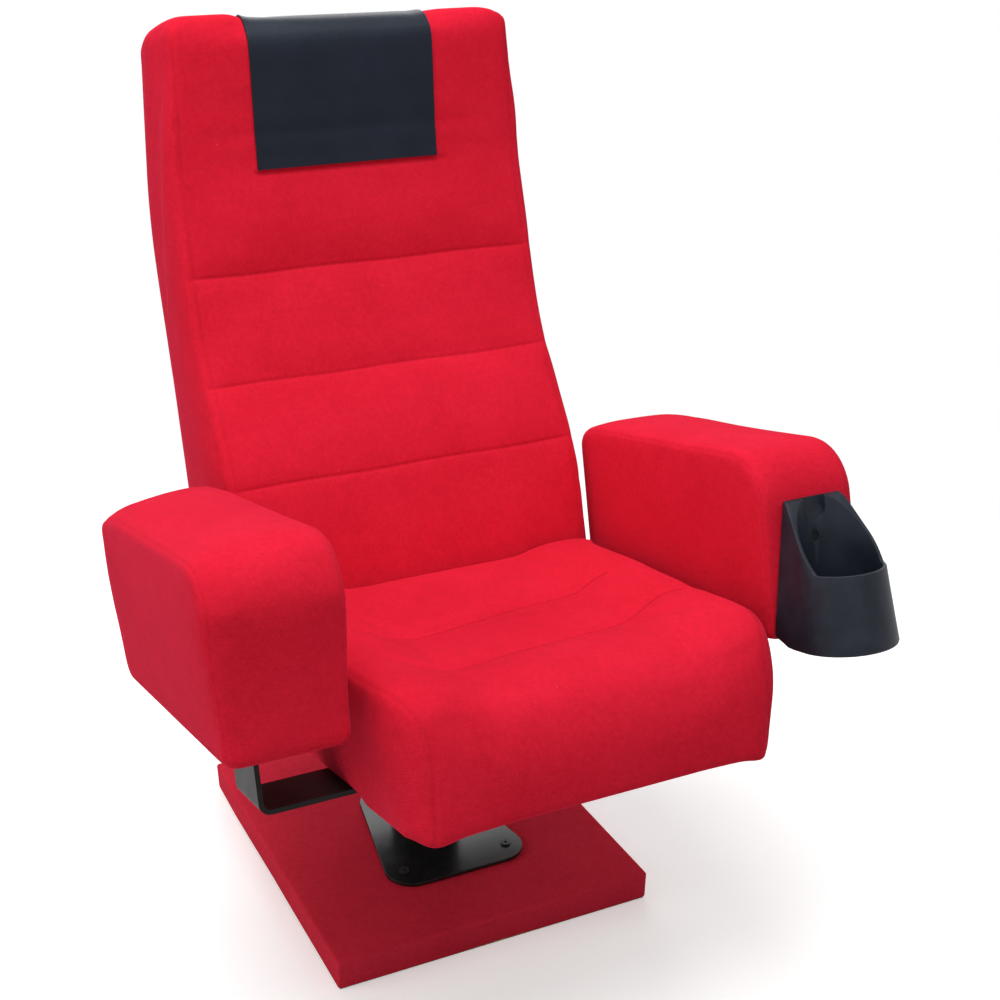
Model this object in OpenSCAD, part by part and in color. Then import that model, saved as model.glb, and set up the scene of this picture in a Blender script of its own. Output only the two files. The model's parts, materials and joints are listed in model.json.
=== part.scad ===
// Rocking cinema seat on a single pedestal, with upholstered arms, a head cover and a cup holder.
// The origin is on the floor under the column. The seat faces -Y. Left and right are as seen from the front.
// The rocker's own frame has its origin on the pivot axis and leans back with the seat.

/* [Platform] */
// Width of the platform, side to side
platform_w = 442; // [400:1:560]
// Depth of the platform, front to back
platform_d = 506; // [460:1:640]
// How far the platform reaches in front of the column
platform_front = 238; // [200:1:280]
// Thickness of the chipboard
board_t = 38; // [25:1:50]
// Thickness of the carpet
carpet_t = 3.5; // [2:0.5:6]

/* [Pedestal] */
// Width of the foot plate at its front
foot_w = 198; // [185:1:230]
// Width of the foot plate at its rear
foot_rear_w = 140; // [120:1:180]
// How far the foot plate reaches in front of the column's centre
foot_front = 136; // [120:1:160]
// How far the foot plate reaches behind the column's centre
foot_rear = 95; // [80:1:120]
// Corner radius of the foot plate's front
foot_corner_r = 38; // [25:1:45]
// Thickness of the foot plate
foot_t = 5; // [4:0.5:10]
// Distance between the two front floor screws
front_screw_gap = 150; // [130:1:160]
// Diameter of the floor screws
floor_screw_d = 8; // [6:0.5:10]
// Width of the column's tube
column_w = 80; // [60:1:100]
// Depth of the column's tube
column_d = 60; // [50:1:80]
// Wall of the column's tube
column_wall = 3; // [2:0.5:5]
// Height of the pivot axis above the floor
pivot_h = 215; // [205:1:260]

/* [Rocker] */
// Lean of the seat at rest, in degrees
recline = 14; // [10:0.5:16]
// Travel of the rocker from rest to its rear stop, in degrees
rock_travel = 10; // [6:0.5:11]
// Diameter of the pivot shaft
shaft_d = 20; // [16:0.5:22]
// Radial running clearance of the shaft and bushes
fit = 0.05; // [0.03:0.01:0.08]
// Wall of the nylon bushes
bush_wall = 3; // [2:0.5:4]
// Clear width between the cheeks of the rocker base
cheek_gap = 76; // [72:1:84]
// Thickness of the cheeks
cheek_t = 6; // [4:0.5:8]
// Depth of the rocker base's floor below the pivot
base_drop = 60; // [56:1:66]
// Thickness of the rocker base's floor
base_t = 5; // [4:0.5:8]
// Thickness of the seat carrier's sheet
carrier_t = 4; // [3:0.5:6]
// Height of the carrier's top face above the pivot
carrier_h = 42; // [40:0.5:46]
// Reach of the carrier in front of the pivot
carrier_front = 350; // [345:1:380]
// Reach of the carrier behind the pivot
carrier_rear = 140; // [138:1:150]
// Outside diameter of the return springs
spring_d = 34; // [30:1:36]
// Wire diameter of the return springs
wire_d = 4.5; // [3.5:0.25:5]
// Distance of the return springs behind the pivot
spring_back = 95; // [90:1:100]
// Turns of each return spring
spring_turns = 6; // [5:1:7]

/* [Seat] */
// Half width of the seat cushion
seat_half_w = 238; // [220:1:246]
// Reach of the seat cushion in front of the pivot
seat_front = 540; // [500:1:570]
// Height of the cushion's top at its front edge, above the pivot
seat_front_h = 180; // [165:1:190]
// Height of the cushion's top at its rear edge, above the pivot
seat_rear_h = 208; // [195:1:215]
// Plan radius of the cushion's front corners
seat_corner_r = 50; // [30:1:70]
// Thickness of the seat's plywood pan
pan_t = 12; // [9:1:18]
// Depth of the sewn channels
channel_depth = 6; // [3:0.5:9]

/* [Back] */
// Height of the back's top above the pivot
back_top = 932; // [900:1:980]
// Half width of the back at its top
back_half_w = 242; // [230:1:246]
// Extra half width of the back at elbow height
back_flare = 6; // [0:1:10]
// Thickness of the back's plywood board
back_board_t = 12; // [9:1:14]
// Thickness of the rear panel
rear_panel_t = 14; // [10:1:16]
// Width of the leatherette head cover
cover_w = 246; // [200:1:320]
// Sideways shift of the head cover
cover_shift = -8; // [-20:1:20]
// Length of the head cover down the front of the back
cover_drop = 191; // [140:1:240]

/* [Arms] */
// Clear width between the arms
arm_gap = 510; // [502:1:560]
// Width of an arm
arm_w = 138; // [128:1:150]
// Reach of the arms in front of the pivot
arm_front = 470; // [450:1:500]
// Length of an arm
arm_len = 440; // [420:1:470]
// Height of the arm's underside above the pivot
arm_bottom = 147; // [135:1:165]
// Height of an arm, underside to top
arm_h = 217; // [200:1:235]
// Radius of the arm's top front edge
arm_nose_r = 64; // [40:1:80]
// Width of the flat bar that carries the arms
strap_w = 87; // [70:1:100]
// Thickness of the flat bars
strap_t = 6; // [5:0.5:8]

/* [Cup holder] */
// Radius of the cup well
cup_r = 46; // [40:0.5:48]
// Depth of the cup well at its front
cup_depth = 86; // [70:1:95]
// Height of the cup holder's underside above the pivot
cup_bottom = 143; // [140:1:160]
// Height of the cup holder at its back
cup_back_h = 165; // [150:1:175]

/* [Hidden] */
$fn = 64;

soft_gap = 0.4;
seat_red = "#d41f3c";
shade_red = "#a81c30";
steel_black = "#26262a";
plywood = "#c9a777";
far = 600;

// A plate whose outline is drawn in the side view, from x0 towards +X
module side_plate(x0, t) translate([x0, 0, 0]) rotate([90, 0, 90]) linear_extrude(t) children();
module along_x(x0, x1, r) translate([x0, 0, 0]) rotate([0, 90, 0]) cylinder(r = r, h = x1 - x0);
module box(x, y, z) translate([x[0], y[0], z[0]]) cube([x[1] - x[0], y[1] - y[0], z[1] - z[0]]);
module on_rocker(lean = recline) translate([0, 0, pivot_h]) rotate([-lean, 0, 0]) children();
module both_sides() for (s = [0, 1]) mirror([s, 0, 0]) children();
// A point of the rocker's side view, seen level from the pivot
function level(y, z, lean = recline) = [y * cos(lean) + z * sin(lean), z * cos(lean) - y * sin(lean)];
function arc(c, r, a0, a1, n) = [for (i = [0 : n]) let (a = a0 + (a1 - a0) * i / n) c + r * [cos(a), sin(a)]];
function steps(a, b, n) = [for (i = [0 : n]) a + (b - a) * i / n];
function spline_point(a, b, c, d, t) =
    0.5 * (2 * b + (c - a) * t + (2 * a - 5 * b + 4 * c - d) * t * t + (3 * b - a - 3 * c + d) * t * t * t);
// A smooth line through its points, with n steps from one to the next
function spline(p, n) = [for (i = [0 : len(p) - 2], j = [0 : (i == len(p) - 2 ? n : n - 1)])
    spline_point(p[max(i - 1, 0)], p[i], p[i + 1], p[min(i + 2, len(p) - 1)], j / n)];
function smooth(t) = let (u = min(max(t, 0), 1)) u * u * (3 - 2 * u);
function reversed(v) = [for (i = [len(v) - 1 : -1 : 0]) v[i]];

// A closed skin through rings of points. Point i of a ring faces point n-1-i across the ring's ends.
module skin(rings) {
    n = len(rings[0]);
    last = len(rings) - 1;
    half = n / 2;
    polyhedron(points = [for (r = rings, p = r) p], faces = concat(
        [for (k = [0 : last - 1], i = [0 : n - 1], s = [0, 1]) let (a = k * n + i, b = k * n + (i + 1) % n)
            s == 0 ? [a, b, b + n] : [a, b + n, a + n]],
        [for (i = [0 : half - 2], s = [0, 1]) let (a = i, b = n - 1 - i)
            s == 0 ? [a, b, a + 1] : [a + 1, b, b - 1]],
        [for (i = [0 : half - 2], s = [0, 1]) let (a = last * n + i, b = last * n + n - 1 - i)
            s == 0 ? [a, a + 1, b] : [a + 1, b - 1, b]]));
}
// Where a pad's rings lie from side to side: an angle round its edge, then a share of its flat
function pad_rings(flats) = concat([for (a = [0, 30, 60]) [-1, a]], [for (t = flats) [t, 90]],
    [for (a = [60, 30, 0]) [1, a]]);
function outward(p, i) = let (n = len(p), d = p[(i + 1) % n] - p[(i + n - 1) % n]) [d[1], -d[0]] / norm(d);
// One ring of a pad, from its side-view outline p, with a half width w and an edge radius r for each point
function pad_ring(p, w, r, ring) = [for (i = [0 : len(p) - 1])
    let (e = outward(p, i), in = r[i] * (1 - sin(ring[1])), q = p[i] - in * e,
        x = ring[1] == 90 ? ring[0] * (w[i] - r[i]) : ring[0] * (w[i] - r[i] * (1 - cos(ring[1]))))
    [x, q[0], q[1]]];

// Platform
platform_y = [-platform_front, platform_d - platform_front];
platform_top = board_t + carpet_t;
board_half_w = platform_w / 2 - carpet_t;
foot_top = platform_top + foot_t;
rear_corner_r = 30;
rear_screw_gap = foot_rear_w - 1.2 * rear_corner_r;
screw_places = [[-front_screw_gap / 2, 33 - foot_front], [front_screw_gap / 2, 33 - foot_front],
    [-rear_screw_gap / 2, foot_rear - 30], [rear_screw_gap / 2, foot_rear - 30]];
screw_head_r = 0.82 * floor_screw_d;
screw_head_h = 2.5;
screw_in_board = board_t - 8;
carpet_lift = 1;

module at_floor_screws() for (p = screw_places) translate([p[0], p[1], 0]) children();

module platform_board() color("#b8926a") difference() {
    box([-board_half_w, board_half_w], platform_y + [carpet_t, -carpet_t], [0, board_t]);
    at_floor_screws() translate([0, 0, board_t - screw_in_board - 1])
        cylinder(d = floor_screw_d + 2 * fit, h = screw_in_board + 2);
}

module platform_carpet() color(shade_red) difference() {
    box([-platform_w / 2, platform_w / 2], platform_y, [carpet_lift, platform_top]);
    box([-board_half_w, board_half_w], platform_y + [carpet_t, -carpet_t], [-1, board_t]);
    at_floor_screws() translate([0, 0, board_t - 1]) cylinder(d = floor_screw_d + 1, h = carpet_t + 2);
}

// Outline of the foot plate, tapered to the rear between four round corners
module foot_outline() {
    fx = foot_w / 2 - foot_corner_r;
    fy = foot_corner_r - foot_front;
    rx = foot_rear_w / 2 - rear_corner_r;
    ry = foot_rear - rear_corner_r;
    run = [rx - fx, ry - fy];
    lean = atan2(run[1], run[0]) - acos((foot_corner_r - rear_corner_r) / norm(run));
    right = concat(arc([fx, fy], foot_corner_r, -90, lean, 12), arc([rx, ry], rear_corner_r, lean, 90, 12));
    polygon(concat(right, [for (p = reversed(right)) [-p[0], p[1]]]));
}

module foot_plate() color(steel_black) translate([0, 0, platform_top]) difference() {
    linear_extrude(foot_t) foot_outline();
    at_floor_screws() translate([0, 0, -1]) cylinder(d = floor_screw_d + 0.6, h = foot_t + 2);
}

module foot_screws() color("#3a3a3e") at_floor_screws() difference() {
    union() {
        translate([0, 0, board_t - screw_in_board])
            cylinder(d = floor_screw_d, h = foot_top - board_t + screw_in_board);
        translate([0, 0, foot_top]) cylinder(r = screw_head_r, h = screw_head_h);
    }
    translate([0, 0, foot_top + 1]) cylinder(d = 5, h = screw_head_h, $fn = 6);
}

// Column and rocker base
base_top = pivot_h - base_drop;
base_bottom = base_top - base_t;
column_r = 6;
cheek_in = cheek_gap / 2;
cheek_out = cheek_in + cheek_t;
boss_r = shaft_d / 2 + bush_wall + 7;
side_play = 2;
carrier_in = cheek_out + side_play;
carrier_out = carrier_in + carrier_t;
carrier_under = carrier_h - carrier_t;
boss_out = carrier_out + 12;
buffer_t = 12;
stop_t = 5;
stop_y = [-95, -50];
stop_top = carrier_under - buffer_t;
spring_x = 24;
spring_r = (spring_d - wire_d) / 2;
spring_y = level(spring_back, carrier_under)[0];
cup_wall_r = spring_d / 2 + 1.5;
spigot_r = spring_r - wire_d / 2 - 1;
seat_disc_t = 3;
spring_top = level(spring_back + cup_wall_r, carrier_under)[1] - seat_disc_t;
spring_floor = seat_disc_t - base_drop;
base_rear = spring_y + cup_wall_r + 8;
rear_stop = level(46, carrier_under, recline + rock_travel);
rear_buffer_r = 11;
rear_buffer_t = 16;

module tube_outline(w, d, r) {
    polygon(concat(arc([w / 2 - r, d / 2 - r], r, 0, 90, 8), arc([r - w / 2, d / 2 - r], r, 90, 180, 8),
        arc([r - w / 2, r - d / 2], r, 180, 270, 8), arc([w / 2 - r, r - d / 2], r, 270, 360, 8)));
}

module pedestal_column() color(steel_black) translate([0, 0, foot_top]) linear_extrude(base_bottom - foot_top)
    difference() {
        tube_outline(column_w, column_d, column_r);
        tube_outline(column_w - 2 * column_wall, column_d - 2 * column_wall, column_r - column_wall + 0.5);
    }

// Side view of a cheek, level, from the pivot: a foot, a boss and the horn under the front stop
module cheek_outline() {
    polygon([[stop_y[0], -base_drop], [50, -base_drop], [boss_r, 0], [-boss_r, 0]]);
    polygon([[stop_y[0], -base_drop], level(stop_y[0], stop_top - stop_t), level(stop_y[1], stop_top - stop_t),
        [0, -base_drop]]);
    circle(r = boss_r);
}

module at_springs() for (s = [-1, 1]) translate([s * spring_x, spring_y, 0]) children();

module rocker_base() color(steel_black) difference() {
    union() {
        box([-cheek_out - 16, cheek_out + 16], [stop_y[0], base_rear], [base_bottom, base_top]);
        translate([0, 0, pivot_h]) {
            side_plate(cheek_in, cheek_t) cheek_outline();
            side_plate(-cheek_out, cheek_t) cheek_outline();
            at_springs() translate([0, 0, -base_drop]) {
                cylinder(r = cup_wall_r, h = seat_disc_t);
                cylinder(r = spigot_r, h = seat_disc_t + 8);
            }
            // Post of the rear stop
            translate([0, rear_stop[0], -base_drop])
                cylinder(r = rear_buffer_r - 2, h = rear_stop[1] - rear_buffer_t + base_drop);
        }
        on_rocker() box([-cheek_out, cheek_out], stop_y, [stop_top - stop_t, stop_top]);
    }
    translate([0, 0, pivot_h]) along_x(-cheek_out - 1, cheek_out + 1, shaft_d / 2 + fit);
}

module front_buffers() color("#1c1c1e") on_rocker() for (s = [-1, 1])
    translate([s * 22, (stop_y[0] + stop_y[1]) / 2, stop_top]) cylinder(r = 13, h = buffer_t);

// The rear buffer's top is cut to the carrier's underside where the travel ends
module rear_buffer() color("#1c1c1e") difference() {
    translate([0, rear_stop[0], pivot_h + rear_stop[1] - rear_buffer_t])
        cylinder(r = rear_buffer_r, h = 2 * rear_buffer_t);
    on_rocker(recline + rock_travel) box([-far, far], [-far, far], [carrier_under - soft_gap, far]);
}

groove_x = boss_out + 0.8;
clip_t = 1.5;
shaft_end = groove_x + clip_t + 4;
groove_depth = 1;

module pivot_shaft() color("#9a9ca0") translate([0, 0, pivot_h]) difference() {
    along_x(-shaft_end, shaft_end, shaft_d / 2);
    both_sides() difference() {
        along_x(groove_x - 0.1, groove_x + clip_t + 0.1, shaft_d);
        along_x(groove_x - 1, groove_x + clip_t + 1, shaft_d / 2 - groove_depth);
    }
}

module shaft_circlips() color("#77797d") translate([0, 0, pivot_h]) both_sides() difference() {
    along_x(groove_x, groove_x + clip_t, shaft_d / 2 + 3);
    along_x(groove_x - 1, groove_x + clip_t + 1, shaft_d / 2 - groove_depth + 0.05);
    box([groove_x - 1, groove_x + clip_t + 1], [-far, 0], [-3, 3]);
}

// Return springs: a helix with closed ends, one unbroken tube each
rings_per_turn = 8;
wire_sides = 6;
closed_pitch = wire_d + 0.5;
spring_length = spring_top - spring_floor - wire_d - 0.6;
open_pitch = (spring_length - 2 * closed_pitch) / (spring_turns - 2);
function helix_h(t) = t < 1 ? closed_pitch * t
    : t > spring_turns - 1 ? spring_length - closed_pitch * (spring_turns - t)
    : closed_pitch + open_pitch * (t - 1);
function helix_point(t) = [spring_r * cos(360 * t), spring_r * sin(360 * t), helix_h(t)];
helix_last = spring_turns * rings_per_turn;
helix = [for (i = [0 : helix_last]) helix_point(i / rings_per_turn)];
spring_gap = -wire_d
    + min([for (i = [0 : helix_last - rings_per_turn]) norm(helix[i + rings_per_turn] - helix[i])]);
echo("Least gap between the turns of a spring", spring_gap);

module return_springs() color("#8a8d92") {
    points = [for (i = [0 : helix_last]) let (a = 360 * i / rings_per_turn, out = [cos(a), sin(a), 0])
        for (j = [0 : wire_sides - 1]) let (b = 360 * j / wire_sides)
            helix[i] + wire_d / 2 * (cos(b) * out + sin(b) * [0, 0, 1])];
    faces = concat([[for (j = [0 : wire_sides - 1]) j]],
        [for (i = [0 : helix_last - 1], j = [0 : wire_sides - 1], s = [0, 1])
            let (a = i * wire_sides + j, b = i * wire_sides + (j + 1) % wire_sides)
                s == 0 ? [a, a + wire_sides, b + wire_sides] : [a, b + wire_sides, b]],
        [[for (j = [wire_sides - 1 : -1 : 0]) helix_last * wire_sides + j]]);
    translate([0, 0, pivot_h + spring_floor + wire_d / 2 + 0.3]) at_springs() polyhedron(points, faces);
}

// Seat carrier, a steel channel upside down, with ears that turn on the shaft
strap_mid = -296;
strap_y = [strap_mid - strap_w / 2, strap_mid + strap_w / 2];
rear_strap_y = [carrier_rear - 48, carrier_rear - 2];
spacer_y = [-135, -95];
bolt_d = 8;
bolt_x = 30;
pan_bolt_places = [for (x = [-bolt_x, bolt_x], y = [strap_mid, (spacer_y[0] + spacer_y[1]) / 2]) [x, y]];
bars_top = carrier_h + strap_t;

module flange_outline() {
    polygon([[-carrier_front, carrier_h], [-carrier_front, carrier_h - 18],
        [-carrier_front + 12, carrier_h - 28], [-60, carrier_h - 28], [-boss_r, 0], [boss_r, 0],
        [40, carrier_h - 28], [carrier_rear, carrier_h - 13], [carrier_rear, carrier_h]]);
    circle(r = boss_r);
}

module seat_carrier() color(steel_black) on_rocker() difference() {
    union() {
        box([-carrier_out, carrier_out], [-carrier_front, carrier_rear], [carrier_under, carrier_h]);
        side_plate(carrier_in, carrier_t) flange_outline();
        side_plate(-carrier_out, carrier_t) flange_outline();
        both_sides() along_x(carrier_out - 0.5, boss_out, boss_r - 3);
        // Spring seats, level at rest, under the carrier's tail
        intersection() {
            rotate([recline, 0, 0]) at_springs() translate([0, 0, spring_top]) {
                cylinder(r = cup_wall_r, h = far);
                translate([0, 0, -6]) cylinder(r = spigot_r, h = far);
            }
            box([-far, far], [-far, far], [-far, carrier_under + 1]);
        }
    }
    along_x(-boss_out - 1, boss_out + 1, shaft_d / 2 + bush_wall + 2 * fit);
    for (p = pan_bolt_places) translate([p[0], p[1], 0]) cylinder(d = bolt_d + 0.4, h = far);
}

module pivot_bushes() color("#e8e4d8") on_rocker() both_sides() difference() {
    union() {
        along_x(cheek_out + 0.1, carrier_in - 0.1, boss_r - 3);
        along_x(carrier_in - 0.2, boss_out, shaft_d / 2 + bush_wall + fit);
    }
    along_x(0, boss_out + 1, shaft_d / 2 + fit);
}

// Flat bars on the carrier
upright_x = arm_gap / 2 + 78;
bend_r = 8;
tab = 40;
upright_top = arm_bottom + 118;

module front_strap() color(steel_black) on_rocker() difference() {
    box([-upright_x + tab, upright_x - tab], strap_y, [carrier_h, bars_top]);
    for (p = pan_bolt_places) translate([p[0], p[1], 0]) cylinder(d = bolt_d + 0.4, h = far);
}

module rear_strap() color(steel_black) on_rocker()
    box([-bracket_out, bracket_out], rear_strap_y, [carrier_h, bars_top]);

module pan_spacer() color(steel_black) on_rocker() difference() {
    box([-carrier_out, carrier_out], spacer_y, [carrier_h, bars_top]);
    for (p = pan_bolt_places) translate([p[0], p[1], 0]) cylinder(d = bolt_d + 0.4, h = far);
}

module pan_bolts() color("#77797d") on_rocker() for (p = pan_bolt_places) translate([p[0], p[1], 0]) {
    translate([0, 0, carrier_under - 5]) cylinder(d = 1.8 * bolt_d, h = 5, $fn = 6);
    translate([0, 0, carrier_under - 1]) cylinder(d = bolt_d, h = bars_top + pan_t - carrier_under + 1);
}

// Arms: a flat bar bent up into a plywood core, with foam and cloth round both
arm_mid = (arm_gap + arm_w) / 2;
arm_y = [-arm_front, arm_len - arm_front];
arm_z = [arm_bottom, arm_bottom + arm_h];
core_t = 18;
core_x = [upright_x - strap_t - core_t, upright_x - strap_t];
core_y = [arm_y[0] + 28, arm_y[1] - 25];
core_z = [arm_z[0] + 12, arm_z[1] - 22];
arm_bolt_places = [for (y = [-22, 22], z = [45, 90]) [strap_mid + y, arm_bottom + z]];
arm_bolt_head = 5;

module upright_outline() {
    x = upright_x;
    outer_r = bend_r + strap_t;
    polygon(concat([[x - tab, carrier_h]], arc([x - outer_r, carrier_h + outer_r], outer_r, -90, 0, 8),
        [[x, upright_top], [x - strap_t, upright_top]],
        arc([x - outer_r, carrier_h + outer_r], bend_r, 0, -90, 8), [[x - tab, bars_top]]));
}

module arm_upright() color(steel_black) difference() {
    translate([0, strap_y[1], 0]) rotate([90, 0, 0]) linear_extrude(strap_w) upright_outline();
    for (p = arm_bolt_places) translate([0, p[0], p[1]]) along_x(0, far, bolt_d / 2 + 0.2);
}

module arm_core() color(plywood) difference() {
    box(core_x, core_y, core_z);
    for (p = arm_bolt_places) translate([0, p[0], p[1]]) along_x(0, far, bolt_d / 2 + 0.2);
    at_cup_screws() rotate([-90, 0, 0]) cylinder(r = cup_screw_r + fit, h = 60);
}

module arm_bolts() color("#77797d") on_rocker() both_sides() for (p = arm_bolt_places)
    translate([0, p[0], p[1]]) {
        along_x(core_x[0] - arm_bolt_head, core_x[0], 0.9 * bolt_d);
        along_x(core_x[0] - 1, upright_x + arm_bolt_head, bolt_d / 2);
        along_x(upright_x, upright_x + arm_bolt_head, 0.85 * bolt_d);
    }

// Side view of an arm, from the bottom rear corner round by the front, in two halves that face each other
function arm_outline() = let (y = arm_y, z = arm_z, nose = arm_nose_r, low = 12, heel = 32, rear = 22)
    concat(arc([y[0] + low, z[0] + low], low, 225, 180, 3), between([y[0], z[0] + low], [y[0], z[1] - nose], 4),
        arc([y[0] + nose, z[1] - nose], nose, 180, 90, 8), arc([y[1] - rear, z[1] - rear], rear, 90, 0, 4),
        between([y[1], z[1] - rear], [y[1], z[0] + heel], 4), arc([y[1] - heel, z[0] + heel], heel, 0, -90, 5),
        between([y[1] - heel, z[0]], [y[0] + low, z[0]], 5));
// The points between two ends, without the ends
function between(a, b, n) = [for (i = [1 : n - 1]) a + (b - a) * i / n];

arm_edge_r = 13;
module arm_pad_form() {
    p = reversed(arm_outline());
    w = [for (q = p) arm_w / 2];
    r = [for (q = p) arm_edge_r];
    skin([for (ring = pad_rings([-1, -0.5, 0, 0.5, 1])) pad_ring(p, w, r, ring)]);
}

module arm_pad(cup) color(seat_red) difference() {
    translate([arm_mid, 0, 0]) arm_pad_form();
    box([core_x[0] - arm_bolt_head - soft_gap, upright_x + arm_bolt_head + soft_gap],
        [strap_y[0] - 8, strap_y[1] + 8], [core_z[0] - soft_gap, upright_top + soft_gap]);
    box(core_x + [-soft_gap, soft_gap], core_y + [-soft_gap, soft_gap], core_z + [-soft_gap, soft_gap]);
    box([upright_x - strap_t - soft_gap, upright_x + soft_gap], strap_y + [-soft_gap, soft_gap],
        [0, core_z[0]]);
    if (cup) at_cup_screws() translate([0, -1, 0]) rotate([-90, 0, 0]) cylinder(r = cup_screw_r + 0.4, h = 60);
}

module right_arm_upright() on_rocker() arm_upright();
module left_arm_upright() on_rocker() mirror([1, 0, 0]) arm_upright();
module right_arm_core() on_rocker() arm_core();
module left_arm_core() on_rocker() mirror([1, 0, 0]) arm_core();
module right_arm_pad() on_rocker() arm_pad(true);
module left_arm_pad() on_rocker() mirror([1, 0, 0]) arm_pad(false);

// Cup holder on the front of the right arm
cup_x = arm_mid - 3;
cup_back = -arm_front - soft_gap;
cup_wall = 4;
cup_back_wall = 6;
cup_y = cup_back - cup_back_wall - cup_r;
cup_floor = cup_bottom + cup_wall;
cup_rim = cup_floor + cup_depth;
cup_top = cup_bottom + cup_back_h;
cup_screw_r = 2.2;
cup_head_r = 4.8;
cup_screw_z = [cup_floor + 28, cup_rim + 28];
cup_flare = 10;
cup_lug = [64, 46, 36, 44];
cup_lug_drop = 14;
notch_r = 16;
screw_recess = 3.4;

module at_cup_screws() for (z = cup_screw_z) translate([cup_x, cup_back, z]) children();

module cup_outer() intersection() {
    hull() {
        translate([cup_x, cup_y, cup_bottom])
            cylinder(r1 = cup_r + cup_wall + cup_flare, r2 = cup_r + cup_wall, h = cup_rim - cup_bottom,
                $fn = 48);
        translate([cup_x, cup_back, 0]) rotate([90, 0, 0]) linear_extrude(3)
            polygon([[-cup_lug[0], cup_bottom], [cup_lug[0], cup_bottom], [cup_lug[1], cup_top - cup_lug_drop],
                [cup_lug[2], cup_top], [-cup_lug[3], cup_top]]);
    }
    box([0, far], [cup_back - far, cup_back], [0, far]);
}

module cup_holder() color("#32343c") on_rocker() difference() {
    cup_outer();
    // The rim falls from the back plate to the low front
    side_plate(cup_x - far / 2, far) polygon([[cup_back - 8, cup_top + 1], [cup_y - 15, cup_rim],
        [cup_y - far, cup_rim], [cup_y - far, far]]);
    translate([cup_x, cup_y, cup_floor]) cylinder(r = cup_r, h = far, $fn = 96);
    // Thumb notch in the back plate
    translate([cup_x, cup_back - 2, cup_top - cup_lug_drop]) rotate([90, 0, 0])
        cylinder(r = notch_r, h = cup_r);
    box([cup_x - notch_r, cup_x + notch_r], [cup_y, cup_back - 2], [cup_top - cup_lug_drop, far]);
    at_cup_screws() rotate([90, 0, 0]) {
        translate([0, 0, -1]) cylinder(r = cup_screw_r + 0.4, h = cup_r);
        translate([0, 0, cup_back_wall - screw_recess]) cylinder(r = cup_head_r + 0.4, h = cup_r);
    }
}

module cup_holder_screws() color("#3a3a3e") on_rocker() at_cup_screws() {
    translate([0, screw_recess - cup_back_wall, 0]) rotate([90, 0, 0]) cylinder(r = cup_head_r, h = 2.8);
    translate([0, screw_recess - cup_back_wall, 0]) rotate([-90, 0, 0]) cylinder(r = cup_screw_r, h = 50);
}

// Seat pan and cushion
pan_inset = 34;
pan_y = [-seat_front + pan_inset, -80];
pan_half_w = seat_half_w - 18;
seat_rear_y = -66;

// Plan of the pan, grown by a margin
module pan_outline(margin) {
    r = seat_corner_r;
    x = pan_half_w + margin;
    y = pan_y[0] - margin + r;
    polygon(concat([[x, pan_y[1] + margin], [-x, pan_y[1] + margin]], arc([r - x, y], r, 180, 270, 10),
        arc([x - r, y], r, 270, 360, 10)));
}

module seat_pan() color(plywood) on_rocker() difference() {
    translate([0, 0, bars_top]) linear_extrude(pan_t) pan_outline(0);
    for (p = pan_bolt_places) translate([p[0], p[1], bars_top - 1]) cylinder(d = bolt_d + 0.4, h = pan_t + 2);
}

channel_a = 0.38;
channel_b = 0.68;
// Height of the cushion's top at a share t of the way from rear to front
function seat_top(t) = seat_rear_h + (seat_front_h - seat_rear_h) * t - 9 * sin(180 * t);
function groove(t, at, width) = let (u = (t - at) / width) channel_depth * exp(-u * u);
seat_flat_y = [seat_rear_y, -seat_front + 82];
function top_share() = concat(steps(0.03, channel_a - 0.05, 3), [for (d = [-0.02, 0, 0.02]) channel_a + d],
    steps(channel_a + 0.05, channel_b - 0.05, 3), [for (d = [-0.02, 0, 0.02]) channel_b + d],
    steps(channel_b + 0.05, 0.99, 3));
// Side view of the cushion: along the top to the front, then back along the bottom
function seat_outline() = let (top = [for (t = top_share())
        [seat_flat_y[0] + (seat_flat_y[1] - seat_flat_y[0]) * t, seat_top(t)]],
        front = spline([[seat_flat_y[1] - 4, seat_front_h - 1], [-seat_front + 30, seat_front_h - 17],
            [-seat_front + 5, seat_front_h - 52], [-seat_front, seat_front_h - 92],
            [-seat_front + 1, bars_top + 14], [-seat_front + 4, bars_top + 4], [-seat_front + 14, bars_top]], 3),
        upper = concat(top, front), n = len(upper))
    concat(upper, [for (i = [1 : n]) [-seat_front + 24 + (seat_front + seat_rear_y - 24) * i / n, bars_top]]);
function side_curl(x) = 52 * pow(smooth((abs(x) - 130) / (seat_half_w - 130)), 1.5);

seat_edge_r = 22;
seat_under_r = 8;
// The sides draw in towards the underside, and the front corners of the cover hang a little
seat_taper = 12;
corner_hang = 10;
function seat_side(z) = seat_half_w - seat_taper * smooth((seat_front_h + 10 - z) / 142);
function hang(v) = corner_hang * smooth((abs(v[0]) - 110) / 90) * smooth((110 - seat_front - v[1]) / 90)
    * smooth((bars_top + 50 - v[2]) / 50);
function seat_point(v, i, tops) = let (over = max(abs(v[0]) - seat_half_w + seat_corner_r, 0),
        shift = seat_corner_r - sqrt(max(seat_corner_r * seat_corner_r - over * over, 0)),
        share = smooth((-v[1] - seat_front / 2) / (seat_front / 2)),
        t = (v[1] - seat_flat_y[0]) / (seat_flat_y[1] - seat_flat_y[0]),
        fade = smooth((seat_half_w - 6 - abs(v[0])) / 40),
        sunk = i < tops ? fade * (groove(t, channel_a, 0.018) + groove(t, channel_b, 0.018)) : 0,
        curl = i < tops ? side_curl(v[0]) * sin(180 * min(max(t, 0), 1)) : 0)
    [v[0], v[1] + shift * share + curl, v[2] - sunk - hang(v)];

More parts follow.
